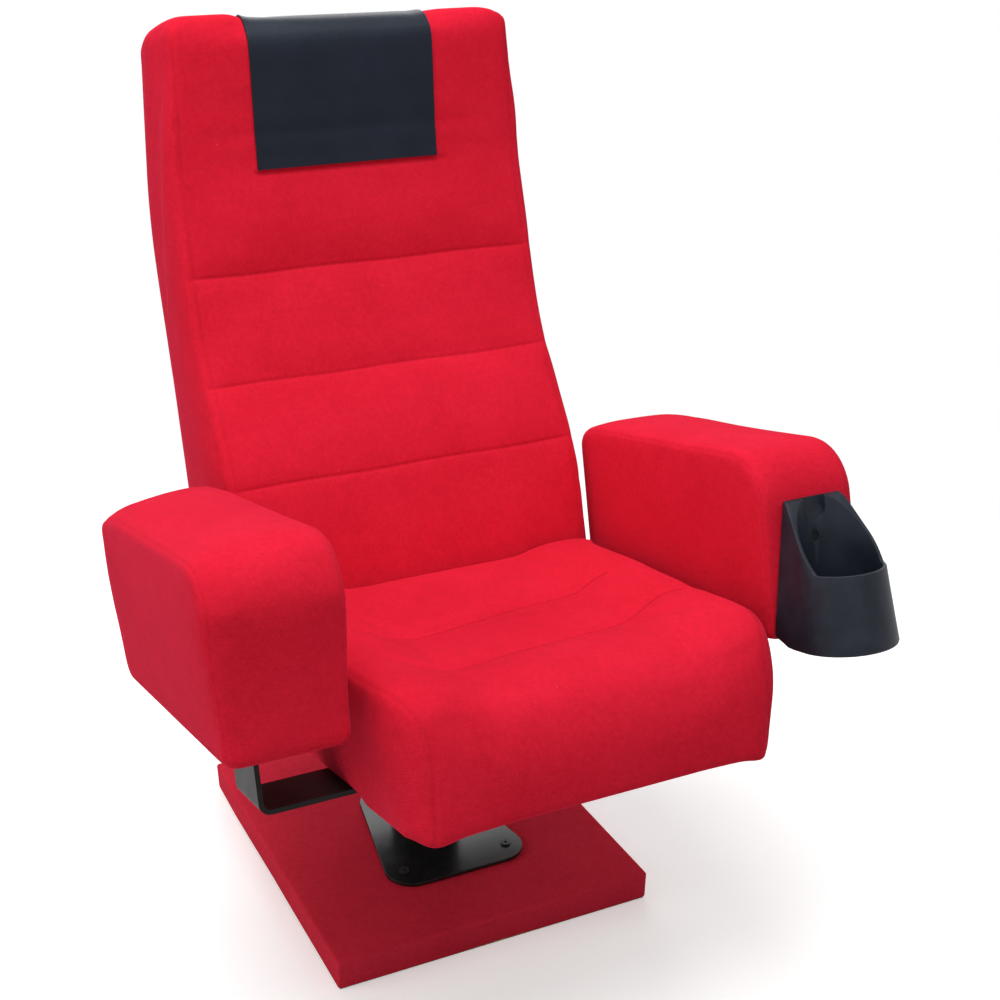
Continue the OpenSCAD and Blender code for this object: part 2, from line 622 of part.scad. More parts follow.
module seat_cushion() color(seat_red) on_rocker() difference() {
    p = seat_outline();
    tops = len(top_share());
    w = [for (q = p) seat_side(q[1])];
    r = [for (i = [0 : len(p) - 1]) i < len(p) / 2 ? seat_edge_r : seat_under_r];
    skin([for (ring = pad_rings([-1, -0.85, -0.7, -0.5, 0, 0.5, 0.7, 0.85, 1]))
        let (v = pad_ring(p, w, r, ring)) [for (i = [0 : len(p) - 1]) seat_point(v[i], i, tops)]]);
    translate([0, 0, bars_top - 30]) linear_extrude(30 + pan_t + soft_gap) pan_outline(soft_gap);
}

// Back: brackets and a tube frame behind a plywood board, closed by the rear panel
bracket_out = 206;
bracket_t = 6;
tube = 25;
frame_x = bracket_out - bracket_t;
board_y = [88, 88 + back_board_t];
frame_y = [board_y[1], board_y[1] + tube];
frame_z = [60, 760];
bracket_top = 320;
cross_z = [105, 480, frame_z[1] - tube];
back_bolt_z = [150, 270];
back_bottom = 56;
cavity_x = 221;
cavity_z = [78, back_top - 52];
bolt_mid = (frame_y[0] + frame_y[1]) / 2;

module back_bracket() color(steel_black) difference() {
    box([frame_x, bracket_out], frame_y, [bars_top, bracket_top]);
    for (z = back_bolt_z) translate([0, bolt_mid, z]) along_x(0, far, bolt_d / 2 + 0.2);
}
module left_back_bracket() on_rocker() mirror([1, 0, 0]) back_bracket();
module right_back_bracket() on_rocker() back_bracket();

module back_frame() color(steel_black) on_rocker() difference() {
    union() {
        both_sides() difference() {
            box([frame_x - tube, frame_x], frame_y, frame_z);
            box([frame_x - tube + 2, frame_x - 2], frame_y + [2, -2], frame_z + [-1, 1]);
        }
        for (z = cross_z) box([tube - frame_x, frame_x - tube], frame_y, [z, z + tube]);
    }
    for (z = back_bolt_z) translate([0, bolt_mid, z]) along_x(-far, far, bolt_d / 2 + 0.2);
}

module back_bolts() color("#77797d") on_rocker() both_sides() for (z = back_bolt_z)
    translate([0, bolt_mid, z]) {
        along_x(frame_x - tube - 8, bracket_out + 1, bolt_d / 2);
        along_x(bracket_out, bracket_out + 5, 0.85 * bolt_d);
        along_x(frame_x - tube - 6, frame_x - tube, 0.85 * bolt_d);
    }

module back_board() color(plywood) on_rocker()
    box([-cavity_x + 3, cavity_x - 3], board_y, cavity_z + [3, -3]);

// Lines of the back in the side view, as distance behind the pivot against height
front_knots = [[-64, back_bottom], [-64, 150], [-62, 235], [-59, 300], [-46, 360], [-14, 440], [14, 505],
    [26, 570], [28, 660], [26, 760], [24, 850], [34, 902]];
rear_knots = [[145, back_bottom], [146, 200], [150, 340], [155, 480], [164, 590], [170, 670], [163, 745],
    [140, 830], [118, 895]];
front_line = [for (p = spline(front_knots, 6)) [p[1], p[0]]];
rear_line = [for (p = spline(rear_knots, 6)) [p[1], p[0]]];
channel_z = [352, 478, 613];
function grooves_at(z) = [z - 13, z - 5, z, z + 5, z + 13];
shoulder = back_top - 36;
front_z = concat(steps(back_bottom + 2, channel_z[0] - 40, 4), grooves_at(channel_z[0]),
    steps(channel_z[0] + 38, channel_z[1] - 38, 2), grooves_at(channel_z[1]),
    steps(channel_z[1] + 38, channel_z[2] - 38, 2), grooves_at(channel_z[2]),
    steps(channel_z[2] + 45, shoulder, 5));
function front_y(z) = lookup(z, front_line);
function rear_y(z) = lookup(z, rear_line);
// The rounded top of the back, grown by a margin
function crown(out) = let (a = front_y(shoulder), b = rear_y(shoulder))
    [for (t = [165 : -30 : 15]) [(a + b) / 2 + ((b - a) / 2 + out) * cos(t),
        shoulder + (back_top - shoulder + out) * pow(sin(t), 0.8)]];
function back_outline() = concat([for (z = front_z) [front_y(z), z]], crown(0),
    [for (i = [len(front_z) - 1 : -1 : 0]) [rear_y(front_z[i]), front_z[i]]]);
function back_half(z) = back_half_w + back_flare * smooth((back_top - 60 - z) / 300);
function back_point(v) = let (fade = smooth((back_half(v[2]) - 4 - abs(v[0])) / 45),
        sunk = v[1] < 60 ? fade * channel_depth * sum([for (z = channel_z) exp(-pow((v[2] - z) / 6, 2))]) : 0)
    [v[0], v[1] + sunk, v[2]];
function sum(v, i = 0) = i < len(v) ? v[i] + sum(v, i + 1) : 0;

module back_form() {
    p = reversed(back_outline());
    w = [for (q = p) back_half(q[1])];
    r = [for (i = [0 : len(p) - 1]) 13 + 21 * pow(max(outward(p, i)[1], 0), 2)];
    skin([for (ring = pad_rings([-1, -0.9, -0.75, 0, 0.75, 0.9, 1]))
        [for (v = pad_ring(p, w, r, ring)) back_point(v)]]);
}

module back_cushion() color(seat_red) on_rocker() difference() {
    back_form();
    box([-cavity_x, cavity_x], [board_y[0] - soft_gap, far], cavity_z);
    // Open below, where the brackets come up
    box([-bracket_out - 6, bracket_out + 6], [rear_strap_y[0] - 4, far], [0, cavity_z[0] + 1]);
}

// The rear panel follows the back's rear line, flush in its opening
module rear_panel() color(shade_red) on_rocker() side_plate(-cavity_x + soft_gap, 2 * (cavity_x - soft_gap)) {
    z = steps(cavity_z[0] + soft_gap, cavity_z[1] - soft_gap, 24);
    polygon(concat([for (h = z) [rear_y(h) - 1, h]],
        [for (i = [len(z) - 1 : -1 : 0]) [rear_y(z[i]) - 1 - rear_panel_t, z[i]]]));
}

// Blocks that hold the panel to the frame's uprights
clip_z = [210, 400, 640];
clip_w = 20;
function panel_front(z) = rear_y(z) - 1 - rear_panel_t - soft_gap;
module panel_clips() color("#1c1c1e") on_rocker() both_sides() for (z = clip_z)
    side_plate(frame_x - tube, clip_w) polygon([[frame_y[1], z], [panel_front(z), z],
        [panel_front(z + clip_w), z + clip_w], [frame_y[1], z + clip_w]]);

// Head cover of leatherette, hung over the top of the back
cover_t = 2.2;
cover_rear_z = back_top - 120;
function cover_line(out) = concat([for (z = steps(back_top - cover_drop, shoulder, 8)) [front_y(z) - out, z]],
    crown(out), [for (z = steps(shoulder, cover_rear_z, 5)) [rear_y(z) + out, z]]);

module head_cover() color("#1e2028") on_rocker() side_plate(cover_shift - cover_w / 2, cover_w) {
    inner = cover_line(soft_gap);
    polygon(concat(cover_line(soft_gap + cover_t), [for (i = [len(inner) - 1 : -1 : 0]) inner[i]]));
}

platform_board();
platform_carpet();
foot_plate();
foot_screws();
pedestal_column();
rocker_base();
front_buffers();
rear_buffer();
pivot_shaft();
shaft_circlips();
return_springs();
seat_carrier();
pivot_bushes();
front_strap();
rear_strap();
pan_spacer();
pan_bolts();
left_arm_upright();
right_arm_upright();
left_arm_core();
right_arm_core();
arm_bolts();
left_arm_pad();
right_arm_pad();
cup_holder();
cup_holder_screws();
seat_pan();
seat_cushion();
left_back_bracket();
right_back_bracket();
back_frame();
back_bolts();
back_board();
back_cushion();
rear_panel();
panel_clips();
head_cover();
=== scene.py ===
import json
import math

import bmesh
import bpy
import numpy as np
from mathutils import Matrix, Vector
from mathutils.bvhtree import BVHTree
from mathutils.kdtree import KDTree

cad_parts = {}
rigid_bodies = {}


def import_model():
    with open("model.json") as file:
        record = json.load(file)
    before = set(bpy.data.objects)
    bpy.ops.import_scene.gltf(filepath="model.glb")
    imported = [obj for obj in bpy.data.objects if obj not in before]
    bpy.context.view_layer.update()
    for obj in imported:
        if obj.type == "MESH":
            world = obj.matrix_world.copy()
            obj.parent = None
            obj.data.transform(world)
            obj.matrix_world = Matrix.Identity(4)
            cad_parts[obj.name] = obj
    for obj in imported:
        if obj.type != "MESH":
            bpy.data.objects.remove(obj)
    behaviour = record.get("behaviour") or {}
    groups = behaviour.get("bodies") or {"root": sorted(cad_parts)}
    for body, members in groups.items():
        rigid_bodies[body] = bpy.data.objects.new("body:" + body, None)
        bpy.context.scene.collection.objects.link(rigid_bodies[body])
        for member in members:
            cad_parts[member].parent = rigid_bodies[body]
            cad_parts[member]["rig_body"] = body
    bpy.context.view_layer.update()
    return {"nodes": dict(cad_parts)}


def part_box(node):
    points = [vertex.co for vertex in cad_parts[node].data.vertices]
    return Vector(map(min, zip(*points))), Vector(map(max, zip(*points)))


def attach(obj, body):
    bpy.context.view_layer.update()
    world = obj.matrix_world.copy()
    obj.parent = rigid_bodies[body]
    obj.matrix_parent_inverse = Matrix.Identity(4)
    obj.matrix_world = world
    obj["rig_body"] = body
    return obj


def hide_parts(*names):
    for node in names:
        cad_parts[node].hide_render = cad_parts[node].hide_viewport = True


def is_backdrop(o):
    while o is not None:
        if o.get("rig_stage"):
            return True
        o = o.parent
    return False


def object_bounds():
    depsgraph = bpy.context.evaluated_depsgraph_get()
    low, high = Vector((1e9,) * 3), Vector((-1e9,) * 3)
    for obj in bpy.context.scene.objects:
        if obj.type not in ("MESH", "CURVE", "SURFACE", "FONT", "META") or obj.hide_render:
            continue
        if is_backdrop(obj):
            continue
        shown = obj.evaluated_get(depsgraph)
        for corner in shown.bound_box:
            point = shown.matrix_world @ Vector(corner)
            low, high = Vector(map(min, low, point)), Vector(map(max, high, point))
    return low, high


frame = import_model()
nodes = frame["nodes"]

# ---------------------------------------------------------------- Shared tools
# Finishes are built from shader nodes. Hard pieces are the CAD's with their edges eased, and
# covers are closed skins that are filled, sewn and leaned into place.

WELD = 0.00002
EASED_ANGLE, FLAT_ANGLE = 35, 0.5  # degrees


def pick(piece):
    bpy.ops.object.select_all(action="DESELECT")
    piece.select_set(True)
    bpy.context.view_layer.objects.active = piece
    return piece


def apply(piece, kind, **settings):
    """Adds one modifier with its settings, and applies it."""
    pick(piece)
    step = piece.modifiers.new("step", kind)
    for key, value in settings.items():
        setattr(step, key, value)
    bpy.ops.object.modifier_apply(modifier="step")


def face_out(piece):
    pick(piece)
    bpy.ops.object.mode_set(mode="EDIT")
    bpy.ops.mesh.select_all(action="SELECT")
    bpy.ops.mesh.normals_make_consistent(inside=False)
    bpy.ops.object.mode_set(mode="OBJECT")


def add(m, kind, values=None, **settings):
    """A shader node in a material or world, with its sockets linked or set."""
    n = m.node_tree.nodes.new("ShaderNode" + kind)
    for key, value in settings.items():
        setattr(n, key, value)
    for key, value in (values or {}).items():
        if isinstance(value, bpy.types.NodeSocket):
            m.node_tree.links.new(value, n.inputs[key])
        else:
            n.inputs[key].default_value = value
    return n


def finish_of(name, roughness, metallic=0.0, specular=0.5):
    """A new material and its main shader."""
    m = bpy.data.materials.new(name)
    m.use_nodes = True
    s = m.node_tree.nodes["Principled BSDF"]
    s.inputs["Roughness"].default_value = roughness
    s.inputs["Metallic"].default_value = metallic
    s.inputs["Specular IOR Level"].default_value = specular
    return m, s


def place_of(m):
    return add(m, "TexCoord").outputs["Object"]


def noise(m, place, scale, detail=3.0, rough=0.5):
    values = {"Vector": place, "Scale": scale, "Detail": detail, "Roughness": rough}
    return add(m, "TexNoise", values).outputs["Fac"]


def between(m, share, low, high, start=0.3, end=0.7):
    """A colour that runs from low to high as the share runs from start to end."""
    ramp = add(m, "ValToRGB", {"Fac": share})
    for stop, position, colour in zip(ramp.color_ramp.elements, (start, end), (low, high)):
        stop.position, stop.color = position, (*colour, 1)
    return ramp.outputs["Color"]


def over(m, share, under, colour):
    """A plain colour laid over another by a share."""
    values = {"Factor": share, 6: under, 7: (*colour, 1)}
    return add(m, "Mix", values, data_type="RGBA").outputs[2]


def lay(m, shader, socket, value):
    m.node_tree.links.new(value, shader.inputs[socket])


def raise_by(m, shader, height, depth, strength=1.0, under=None):
    """Fine relief on a surface, over what lies under it."""
    values = {"Height": height, "Distance": depth, "Strength": strength}
    if under is not None:
        values["Normal"] = under
    b = add(m, "Bump", values)
    lay(m, shader, "Normal", b.outputs["Normal"])
    return b.outputs["Normal"]


def maths(m, operation, a, b=0.0):
    n = add(m, "Math", operation=operation)
    for i, v in enumerate((a, b)):
        if isinstance(v, bpy.types.NodeSocket):
            m.node_tree.links.new(v, n.inputs[i])
        else:
            n.inputs[i].default_value = v
    return n.outputs[0]


def dress(finish, *names):
    """Gives CAD pieces their finish, and leaves their form alone."""
    for name in names:
        mesh = nodes[name].data
        mesh.materials.clear()
        mesh.materials.append(finish)


def eased(name, names, width, finish):
    """The CAD nodes in one mesh, with their doubles merged and their sharp edges broken."""
    copies = []
    for node_name in names:
        copy = nodes[node_name].copy()
        copy.data = nodes[node_name].data.copy()
        copy.parent = None
        for key in list(copy.keys()):
            del copy[key]
        bpy.context.scene.collection.objects.link(copy)
        copies.append(copy)
    bpy.ops.object.select_all(action="DESELECT")
    for copy in copies:
        copy.select_set(True)
    bpy.context.view_layer.objects.active = copies[0]
    if len(copies) > 1:
        bpy.ops.object.join()
    piece = bpy.context.active_object
    piece.name = name
    bpy.ops.object.mode_set(mode="EDIT")
    bpy.ops.mesh.select_all(action="SELECT")
    bpy.ops.mesh.remove_doubles(threshold=WELD)
    bpy.ops.mesh.select_all(action="DESELECT")
    bpy.ops.mesh.select_mode(type="EDGE")
    bpy.ops.mesh.select_all(action="SELECT")
    bpy.ops.mesh.customdata_custom_splitnormals_clear()
    bpy.ops.mesh.dissolve_limited(angle_limit=math.radians(FLAT_ANGLE))
    bpy.ops.object.mode_set(mode="OBJECT")
    bpy.ops.object.shade_smooth_by_angle(angle=math.radians(EASED_ANGLE))
    if width:
        apply(piece, "BEVEL", width=width, segments=2, harden_normals=True,
              limit_method="ANGLE", angle_limit=math.radians(EASED_ANGLE))
    piece.data.materials.clear()
    piece.data.materials.append(finish)
    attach(piece, nodes[names[0]]["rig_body"])
    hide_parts(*names)
    return piece


# The lean of the whole seat at rest and its pivot's height, in millimetres
LEAN = math.radians(14)
PIVOT_Z = 215.0
BACKWARD = Vector((0, 1, 0))
# The covers' mesh, their sewn lines and the filling of them, in metres
VOXEL = 0.006
FAR, STEP = 0.05, 0.0015
SEAM_REACH, SEAM_MARK, PRESS_MARK = 0.0045, 0.0016, 0.0022
FRAMES = 20
CLOTH = {"vertex_group_mass": "sewn", "quality": 4, "mass": 0.3, "tension_stiffness": 12,
         "compression_stiffness": 12, "shear_stiffness": 6, "bending_stiffness": 0.4,
         "use_pressure": True, "uniform_pressure_force": 4.0}


def points_of(piece):
    co = np.empty(len(piece.data.vertices) * 3)
    piece.data.vertices.foreach_get("co", co)
    return co.reshape(-1, 3)


def normals_of(piece):
    no = np.empty(len(piece.data.vertices) * 3)
    piece.data.vertices.foreach_get("normal", no)
    return no.reshape(-1, 3)


def set_points(piece, co):
    piece.data.vertices.foreach_set("co", np.asarray(co, float).ravel())
    piece.data.update()


def seat_to_world(p):
    """Millimetres in the seat before it leans, from the pivot, to metres over the floor."""
    p = np.asarray(p, float)
    y = p[:, 1] * math.cos(LEAN) + p[:, 2] * math.sin(LEAN)
    z = PIVOT_Z + p[:, 2] * math.cos(LEAN) - p[:, 1] * math.sin(LEAN)
    return np.stack([p[:, 0], y, z], 1) / 1000


def arc(centre, r, start, end, n):
    a = np.radians(np.linspace(start, end, n + 1))
    return np.stack([centre[0] + r * np.cos(a), centre[1] + r * np.sin(a)], 1)


def run(a, b, n):
    return np.array([[a[0] + (b[0] - a[0]) * i / n, a[1] + (b[1] - a[1]) * i / n] for i in range(1, n)])


def eased_step(t):
    u = np.clip(t, 0, 1)
    return u * u * (3 - 2 * u)


def curve_through(knots, n):
    """A smooth curve through the knots, with n steps between two of them."""
    k = np.array(knots, float)
    out = []
    for i in range(len(k) - 1):
        a, b, c, d = k[max(i - 1, 0)], k[i], k[i + 1], k[min(i + 2, len(k) - 1)]
        for j in range(n + (i == len(k) - 2)):
            t = j / n
            out.append(0.5 * (2 * b + (c - a) * t + (2 * a - 5 * b + 4 * c - d) * t * t
                              + (3 * b - a - 3 * c + d) * t ** 3))
    return np.array(out)


def outward_of(p):
    """The outward direction at each point of a closed outline."""
    d = np.roll(p, -1, 0) - np.roll(p, 1, 0)
    e = np.stack([d[:, 1], -d[:, 0]], 1) / np.linalg.norm(d, axis=1)[:, None]
    turn = np.sum(p[:, 0] * np.roll(p[:, 1], -1) - np.roll(p[:, 0], -1) * p[:, 1])
    return e if turn > 0 else -e


def ring_at(p, w, r, side, angle):
    """One line of the cover round a pad: side -1 to 1, angle 0 at the side panel to 90 on the band."""
    a = math.radians(angle)
    q = p - outward_of(p) * (r * (1 - math.sin(a)))[:, None]
    x = side * (w - r) if angle == 90 else side * (w - r * (1 - math.cos(a)))
    return np.stack([x * np.ones(len(p)), q[:, 0], q[:, 1]], 1)


def stations(n):
    """Where a pad's rings lie: round one edge, n of them across its band, and round the other edge."""
    angles = (0, 12, 24, 36, 48, 60, 75)
    band = [(t, 90) for t in np.linspace(-1, 1, n)]
    return [(-1, a) for a in angles] + band + [(1, a) for a in reversed(angles)]


def skin(name, rings):
    """A closed mesh over rings of points, in millimetres."""
    n = len(rings[0])
    points = np.concatenate(rings)
    faces = []
    for k in range(len(rings) - 1):
        for i in range(n):
            a, b = k * n + i, k * n + (i + 1) % n
            faces.append((a, b, b + n, a + n))
    faces.append(tuple(range(n - 1, -1, -1)))
    faces.append(tuple((len(rings) - 1) * n + i for i in range(n)))
    mesh = bpy.data.meshes.new(name)
    mesh.from_pydata((points / 1000).tolist(), [], faces)
    piece = bpy.data.objects.new(name, mesh)
    bpy.context.scene.collection.objects.link(piece)
    face_out(piece)
    return piece


def near(co, line):
    """How far each point lies from the sewn lines, in metres, and at most FAR."""
    tree = KDTree(len(line))
    for i, p in enumerate(line):
        tree.insert(p, i)
    tree.balance()
    return np.array([min(tree.find(p)[2], FAR) for p in co])


def fine(line):
    """The same line in steps of about STEP."""
    line = np.asarray(line, float)
    out = []
    for a, b in zip(line[:-1], line[1:]):
        n = max(1, int(np.linalg.norm(b - a) / STEP))
        out += [a + (b - a) * i / n for i in range(n)]
    return out + [line[-1]]


def cast(tree, starts, way):
    """Where lines from the given points meet a cover."""
    hits = [tree.ray_cast(start, way)[0] for start in starts]
    return [hit for hit in hits if hit]


def remesh(piece):
    """Small even faces all over, which the cloth needs."""
    pick(piece)
    piece.data.remesh_voxel_size = VOXEL
    bpy.ops.object.voxel_remesh()
    return points_of(piece)


def fill(piece, sewn, held, grow):
    """Remeshes the cover, pins it along its seams and where it is held, and blows the foam in."""
    start = remesh(piece)
    pin = np.clip(1.6 - near(start, sewn) / VOXEL, 0, 1)
    pin[held(start)] = 1
    group = piece.vertex_groups.new(name="sewn")
    for weight in (0.25, 0.5, 0.75, 1.0):
        chosen = np.nonzero((pin > weight - 0.25) & (pin <= weight))[0]
        group.add(chosen.tolist(), weight, "REPLACE")
    cloth = piece.modifiers.new("foam", "CLOTH")
    for key, value in CLOTH.items():
        setattr(cloth.settings, key, value)
    cloth.settings.effector_weights.gravity = 0
    cloth.collision_settings.use_collision = False
    cloth.point_cache.frame_start, cloth.point_cache.frame_end = 1, FRAMES
    for f in range(1, FRAMES + 1):
        bpy.context.scene.frame_set(f)
    pick(piece)
    bpy.ops.object.modifier_apply(modifier="foam")
    bpy.context.scene.frame_set(1)
    moved = points_of(piece) - start
    size = np.linalg.norm(moved, axis=1)
    keep = grow * np.tanh(size / grow) / np.maximum(size, 1e-9)
    set_points(piece, start + moved * keep[:, None])
    piece.vertex_groups.clear()
    apply(piece, "SMOOTH", factor=0.5, iterations=6)
    apply(piece, "SUBSURF", levels=1, render_levels=1)


def sew(piece, sewn, depth, width, soft_depth, soft_width, dark):
    """Sinks the seams into the cover, and marks painted shade along them for the cloth's colour."""
    distance = near(points_of(piece), sewn)
    mesh = bmesh.new()
    mesh.from_mesh(piece.data)
    mesh.verts.ensure_lookup_table()
    close = [e for e in mesh.edges if min(distance[v.index] for v in e.verts) < SEAM_REACH]
    bmesh.ops.subdivide_edges(mesh, edges=close, cuts=1, use_grid_fill=True)
    mesh.to_mesh(piece.data)
    mesh.free()
    co, no = points_of(piece), normals_of(piece)
    distance = near(co, sewn)
    sink = depth * np.exp(-(distance / width) ** 2) + soft_depth * np.exp(-(distance / soft_width) ** 2)
    set_points(piece, co - no * sink[:, None])
    # A mark of painted shade along the seams, by which the cloth's colour is darkened
    painted_seam_shade = piece.data.attributes.new("seam_shade", "FLOAT", "POINT")
    painted_seam_shade.data.foreach_set("value", (dark * np.exp(-(distance / SEAM_MARK) ** 2)).astype(np.float32))


def press_in(piece, lines, depth, width, dark):
    """Draws a finished cover in along further lines, and paints shade along them."""
    co, no = points_of(piece), normals_of(piece)
    d = near(co, lines)
    set_points(piece, co - no * (depth * np.exp(-(d / width) ** 2))[:, None])
    # Painted shade along these lines, kept where it is darker than the seams'
    painted_seam_shade = piece.data.attributes["seam_shade"]
    old = np.empty(len(co), np.float32)
    painted_seam_shade.data.foreach_get("value", old)
    dark = dark * np.exp(-(d / PRESS_MARK) ** 2)
    painted_seam_shade.data.foreach_set("value", np.maximum(old, dark).astype(np.float32))


def take_out(piece, tool):
    """Cuts the tool's form out of a piece, and removes the tool."""
    apply(piece, "BOOLEAN", object=tool, operation="DIFFERENCE", solver="EXACT")
    bpy.data.objects.remove(tool)


def hollow(piece, low, high, corner=0.5):
    """Takes a block out of a foam piece, in millimetres, rounded at its two front corners."""
    plan = np.concatenate([[(high[0], high[1]), (low[0], high[1])],
                           arc((low[0] + corner, low[1] + corner), corner, 180, 270, 10),
                           arc((high[0] - corner, low[1] + corner), corner, 270, 360, 10)])
    n = len(plan)
    corners = [(x / 1000, y / 1000, z / 1000) for z in (low[2], high[2]) for x, y in plan]
    walls = [(i, (i + 1) % n, n + (i + 1) % n, n + i) for i in range(n)]
    block = bpy.data.meshes.new("block")
    block.from_pydata(corners, [], [tuple(range(n))[::-1], tuple(range(n, 2 * n))] + walls)
    tool = bpy.data.objects.new("block", block)
    bpy.context.scene.collection.objects.link(tool)
    face_out(tool)
    take_out(piece, tool)


def cover(piece, finish, name):
    """Leans a finished cover into place on the seat, gives it its finish, and hides the CAD piece it takes
    the place of.
    """
    set_points(piece, seat_to_world(points_of(piece) * 1000))
    pick(piece)
    bpy.ops.object.shade_smooth()
    piece.data.materials.clear()
    piece.data.materials.append(finish)
    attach(piece, "seat")
    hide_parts(name)


def brushed_cloth(name, deep, lit):
    """A short nap, mottled, with specks of lint, patches of painted sheen where its strokes lie another way,
    and painted shade along its seams.
    """
    m, s = finish_of(name, 0.9, specular=0.015)
    p = place_of(m)
    nap = noise(m, p, 1100.0, 3.0, 0.6)
    mottle = noise(m, p, 170.0, 6.0, 0.7)
    broad = noise(m, p, 11.0, 3.0)
    twill = add(m, "TexWave", {"Vector": p, "Scale": 210.0, "Distortion": 2.5, "Detail": 2.0},
                bands_direction="DIAGONAL").outputs["Fac"]
    share = maths(m, "ADD", maths(m, "MULTIPLY", nap, 0.4), maths(m, "MULTIPLY", mottle, 0.35))
    share = maths(m, "ADD", share, maths(m, "MULTIPLY", broad, 0.25))
    colour = between(m, share, deep, lit, 0.32, 0.66)
    # Patches of painted sheen, lighter and darker, where the strokes of the nap lie another way, and specks
    # of lint
    strokes = add(m, "Mapping", {"Vector": p, "Scale": (1.0, 0.45, 1.0)}).outputs["Vector"]
    painted_nap_sheen = maths(m, "MULTIPLY", noise(m, strokes, 62.0, 6.0, 0.72), 0.22)
    values = {"Value": maths(m, "ADD", painted_nap_sheen, 0.89), "Color": colour}
    colour = add(m, "HueSaturation", values).outputs["Color"]
    fluff = add(m, "TexVoronoi", {"Vector": p, "Scale": 34.0}).outputs
    kept = maths(m, "GREATER_THAN", add(m, "SeparateColor", {"Color": fluff["Color"]}).outputs["Red"], 0.45)
    lint = maths(m, "MULTIPLY", maths(m, "LESS_THAN", fluff["Distance"], 0.022), kept)
    colour = over(m, maths(m, "MULTIPLY", lint, 0.5), colour, (0.9, 0.16, 0.22))
    # Painted shade along the sewn seams and channels darkens the cloth's colour
    seam_shade = add(m, "Attribute", attribute_name="seam_shade").outputs["Fac"]
    shade = [c * 0.35 for c in deep]
    lay(m, s, "Base Color", over(m, maths(m, "MULTIPLY", seam_shade, 0.6), colour, shade))
    s.inputs["Sheen Weight"].default_value = 0.2
    s.inputs["Sheen Roughness"].default_value = 0.4
    s.inputs["Sheen Tint"].default_value = (1.0, 0.13, 0.30, 1)
    pile = maths(m, "ADD", nap, maths(m, "MULTIPLY", twill, 0.35))
    first = raise_by(m, s, pile, 0.0005, 0.55)
    raise_by(m, s, mottle, 0.0008, 0.35, under=first)
    return m


red_cloth = brushed_cloth("brushed_red_cloth", (0.56, 0.0095, 0.0225), (0.75, 0.0175, 0.045))

# ---------------------------------------------------------------- Platform
# A chipboard slab that the seat is screwed to. Red needle-felt carpet is glued over its top
# and pulled down its four sides, with the corners cut and butted.

chipboard, shader = finish_of("raw_chipboard", 0.85, specular=0.2)
place = place_of(chipboard)
flakes = add(chipboard, "TexVoronoi", {"Vector": place, "Scale": 260.0}).outputs["Color"]
grey = add(chipboard, "RGBToBW", {"Color": flakes}).outputs["Val"]
lay(chipboard, shader, "Base Color",
    between(chipboard, grey, (0.36, 0.23, 0.12), (0.66, 0.50, 0.31), 0.2, 0.8))
raise_by(chipboard, shader, grey, 0.0004, 0.6)
dress(chipboard, "platform_board")

carpet_low, carpet_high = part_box("platform_carpet")
carpet_size = carpet_high - carpet_low
CARPET_T, CARPET_EDGE, FLAP = 0.0033, 0.004, 0.005

felt, shader = finish_of("needle_felt", 0.95, specular=0.03)
place = place_of(felt)
fibres = noise(felt, place, 1400.0, 4.0, 0.7)
clumps = noise(felt, place, 160.0, 5.0, 0.65)
wear = noise(felt, place, 9.0, 3.0)
mixed = maths(felt, "ADD", maths(felt, "MULTIPLY", fibres, 0.45), maths(felt, "MULTIPLY", clumps, 0.35))
mixed = maths(felt, "ADD", mixed, maths(felt, "MULTIPLY", wear, 0.2))
# The felt's colours are lighter than its own dark red: painted light against the seat's shadow over it
lay(felt, shader, "Base Color",
    between(felt, mixed, (0.62, 0.020, 0.042), (0.90, 0.040, 0.080), 0.34, 0.66))
shader.inputs["Sheen Weight"].default_value = 0.08
shader.inputs["Sheen Roughness"].default_value = 0.5
shader.inputs["Sheen Tint"].default_value = (1.0, 0.2, 0.3, 1)
raise_by(felt, shader, mixed, 0.0012, 0.7)

bpy.ops.object.select_all(action="DESELECT")
bpy.ops.mesh.primitive_cube_add(size=1, location=(carpet_low + carpet_high) / 2)
carpet = bpy.context.active_object
carpet.name = "carpet_cover"
carpet.scale = carpet_size
bpy.ops.object.transform_apply(location=True, rotation=True, scale=True)
bpy.ops.object.mode_set(mode="EDIT")
bpy.ops.mesh.select_all(action="SELECT")
bpy.ops.mesh.bevel(offset=CARPET_EDGE, segments=3, profile=0.5, affect="EDGES")
bpy.ops.mesh.subdivide(number_cuts=5)
bpy.ops.object.mode_set(mode="OBJECT")
mesh = bmesh.new()
mesh.from_mesh(carpet.data)
bmesh.ops.delete(mesh, geom=[f for f in mesh.faces if f.normal.z < -0.3], context="FACES")
mesh.to_mesh(carpet.data)
mesh.free()
# The side flaps are pulled down by hand, so their faces and lower edges run a little wavy
for v in carpet.data.vertices:
    x, y, z = v.co
    low = max(0.0, 1 - (z - carpet_low.z) / carpet_size.z)
    wave = 0.0009 * math.sin(31 * x + 1.3) + 0.0008 * math.sin(27 * y + 0.4) + 0.0005 * math.sin(73 * (x + y))
    if abs(x) > carpet_size.x / 2 - FLAP:
        v.co.x -= math.copysign(abs(wave) * (0.3 + low), x)
    if y < carpet_low.y + FLAP or y > carpet_high.y - FLAP:
        v.co.y += math.copysign(abs(wave) * (0.3 + low), (carpet_low.y + carpet_high.y) / 2 - y)
    if low < 0.2:
        v.co.z -= 0.0007 * (1 + math.sin(19 * x) * math.sin(23 * y)) * (1 - abs(x) / carpet_size.x)
apply(carpet, "SOLIDIFY", thickness=CARPET_T, offset=-1)
bpy.ops.object.shade_smooth_by_angle(angle=math.radians(50))
carpet.data.materials.append(felt)
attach(carpet, "base")
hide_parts("platform_carpet")

